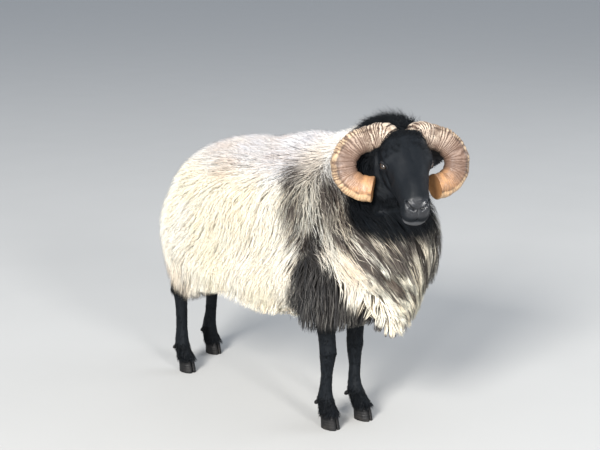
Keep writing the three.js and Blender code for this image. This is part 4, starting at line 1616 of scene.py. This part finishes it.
class RAM_OT_short_coat(bpy.types.Operator):
    """Grow the short hair of face, legs and ears"""

    bl_idname = "ram.short_coat"
    bl_label = "Short coat"

    def execute(self, context):
        settings = context.scene.ram_coat
        rng = np.random.default_rng(settings.seed + 1)
        body = SHOP["body"]
        locks = short_tufts(body, short_density(body), settings.face_tufts, short_length, short_width, rng)
        head = locks.roots[:, 2] > HEAD_BOTTOM
        left = to_head(locks.roots)[:, 1] > 0
        hind = locks.roots[:, 1] > FORE_AND_HIND
        for name, inside in (
            ("coat_face_left", head & left), ("coat_face_right", head & ~left),
            ("coat_forelegs", ~head & ~hind), ("coat_hindlegs", ~head & hind),
        ):
            coat_piece(name, locks.part(inside))
        for name in SIDES:
            ear = SHOP["ear_" + name]
            tufts = short_tufts(ear, np.ones(len(ear.area)), settings.ear_tufts, ear_length, ear_width, rng)
            coat_piece("coat_ear_" + name, tufts)
        return {"FINISHED"}


class RAM_OT_horns(bpy.types.Operator):
    """Make both curled horns with rings and sawn ends"""

    bl_idname = "ram.horns"
    bl_label = "Horns"

    def execute(self, context):
        for name, side in SIDES.items():
            build_horn(name, side, context.scene.ram_horns)
        return {"FINISHED"}


class RAM_OT_eyes(bpy.types.Operator):
    """Make both eyes"""

    bl_idname = "ram.eyes"
    bl_label = "Eyes"

    def execute(self, context):
        for name, side in SIDES.items():
            build_eye(name, side)
        return {"FINISHED"}


class RAM_OT_hooves(bpy.types.Operator):
    """Make the claws and dewclaws"""

    bl_idname = "ram.hooves"
    bl_label = "Hooves"

    def execute(self, context):
        for node in sorted(NODES):
            if "claw" in node:
                build_hoof(node)
        return {"FINISHED"}


class RAM_OT_stage(bpy.types.Operator):
    """Set the floor, the lights and the camera"""

    bl_idname = "ram.stage"
    bl_label = "Stage"

    def execute(self, context):
        settings = context.scene.ram_stage
        add_floor(settings.floor_colour)
        add_sky(context.scene)
        add_lamp("key", settings.key_place, 3.2, settings.key, (1.0, 0.97, 0.925))
        add_lamp("front", FRONT_PLACE, 1.3, settings.fill, FRONT_COLOUR)
        add_lamp("fill", FILL_PLACE, 4.4, settings.fill * 0.5, (0.93, 0.96, 1.0))
        add_lamp("eye_light", EYE_LIGHT_PLACE, 0.45, settings.eye_light, FRONT_COLOUR)
        add_camera(context.scene, settings)
        return {"FINISHED"}


class RAM_PT_panel(bpy.types.Panel):
    """Lists the steps that dress the ram"""

    bl_label = "Horned heath ram"
    bl_idname = "RAM_PT_panel"
    bl_space_type = "VIEW_3D"
    bl_region_type = "UI"
    bl_category = "Ram"

    def draw(self, context):
        for operator in STEPS:
            self.layout.operator(operator.bl_idname)
        for settings in SETTINGS:
            group = getattr(context.scene, settings)
            for name in group.__annotations__:
                self.layout.prop(group, name)


SETTINGS = {"ram_coat": RamCoatSettings, "ram_horns": RamHornSettings, "ram_stage": RamStageSettings}
STEPS = (
    RAM_OT_skin, RAM_OT_fleece, RAM_OT_short_coat, RAM_OT_horns, RAM_OT_eyes, RAM_OT_hooves, RAM_OT_stage,
)
CLASSES = (*SETTINGS.values(), *STEPS, RAM_PT_panel)


def register():
    for cls in CLASSES:
        bpy.utils.register_class(cls)
    for name, cls in SETTINGS.items():
        setattr(bpy.types.Scene, name, PointerProperty(type=cls))


def unregister():
    for name in SETTINGS:
        delattr(bpy.types.Scene, name)
    for cls in reversed(CLASSES):
        bpy.utils.unregister_class(cls)


def main():
    register()
    bpy.ops.ram.skin()
    bpy.ops.ram.fleece()
    bpy.ops.ram.short_coat()
    bpy.ops.ram.horns()
    bpy.ops.ram.eyes()
    bpy.ops.ram.hooves()
    bpy.ops.ram.stage()


if __name__ == "__main__":
    main()
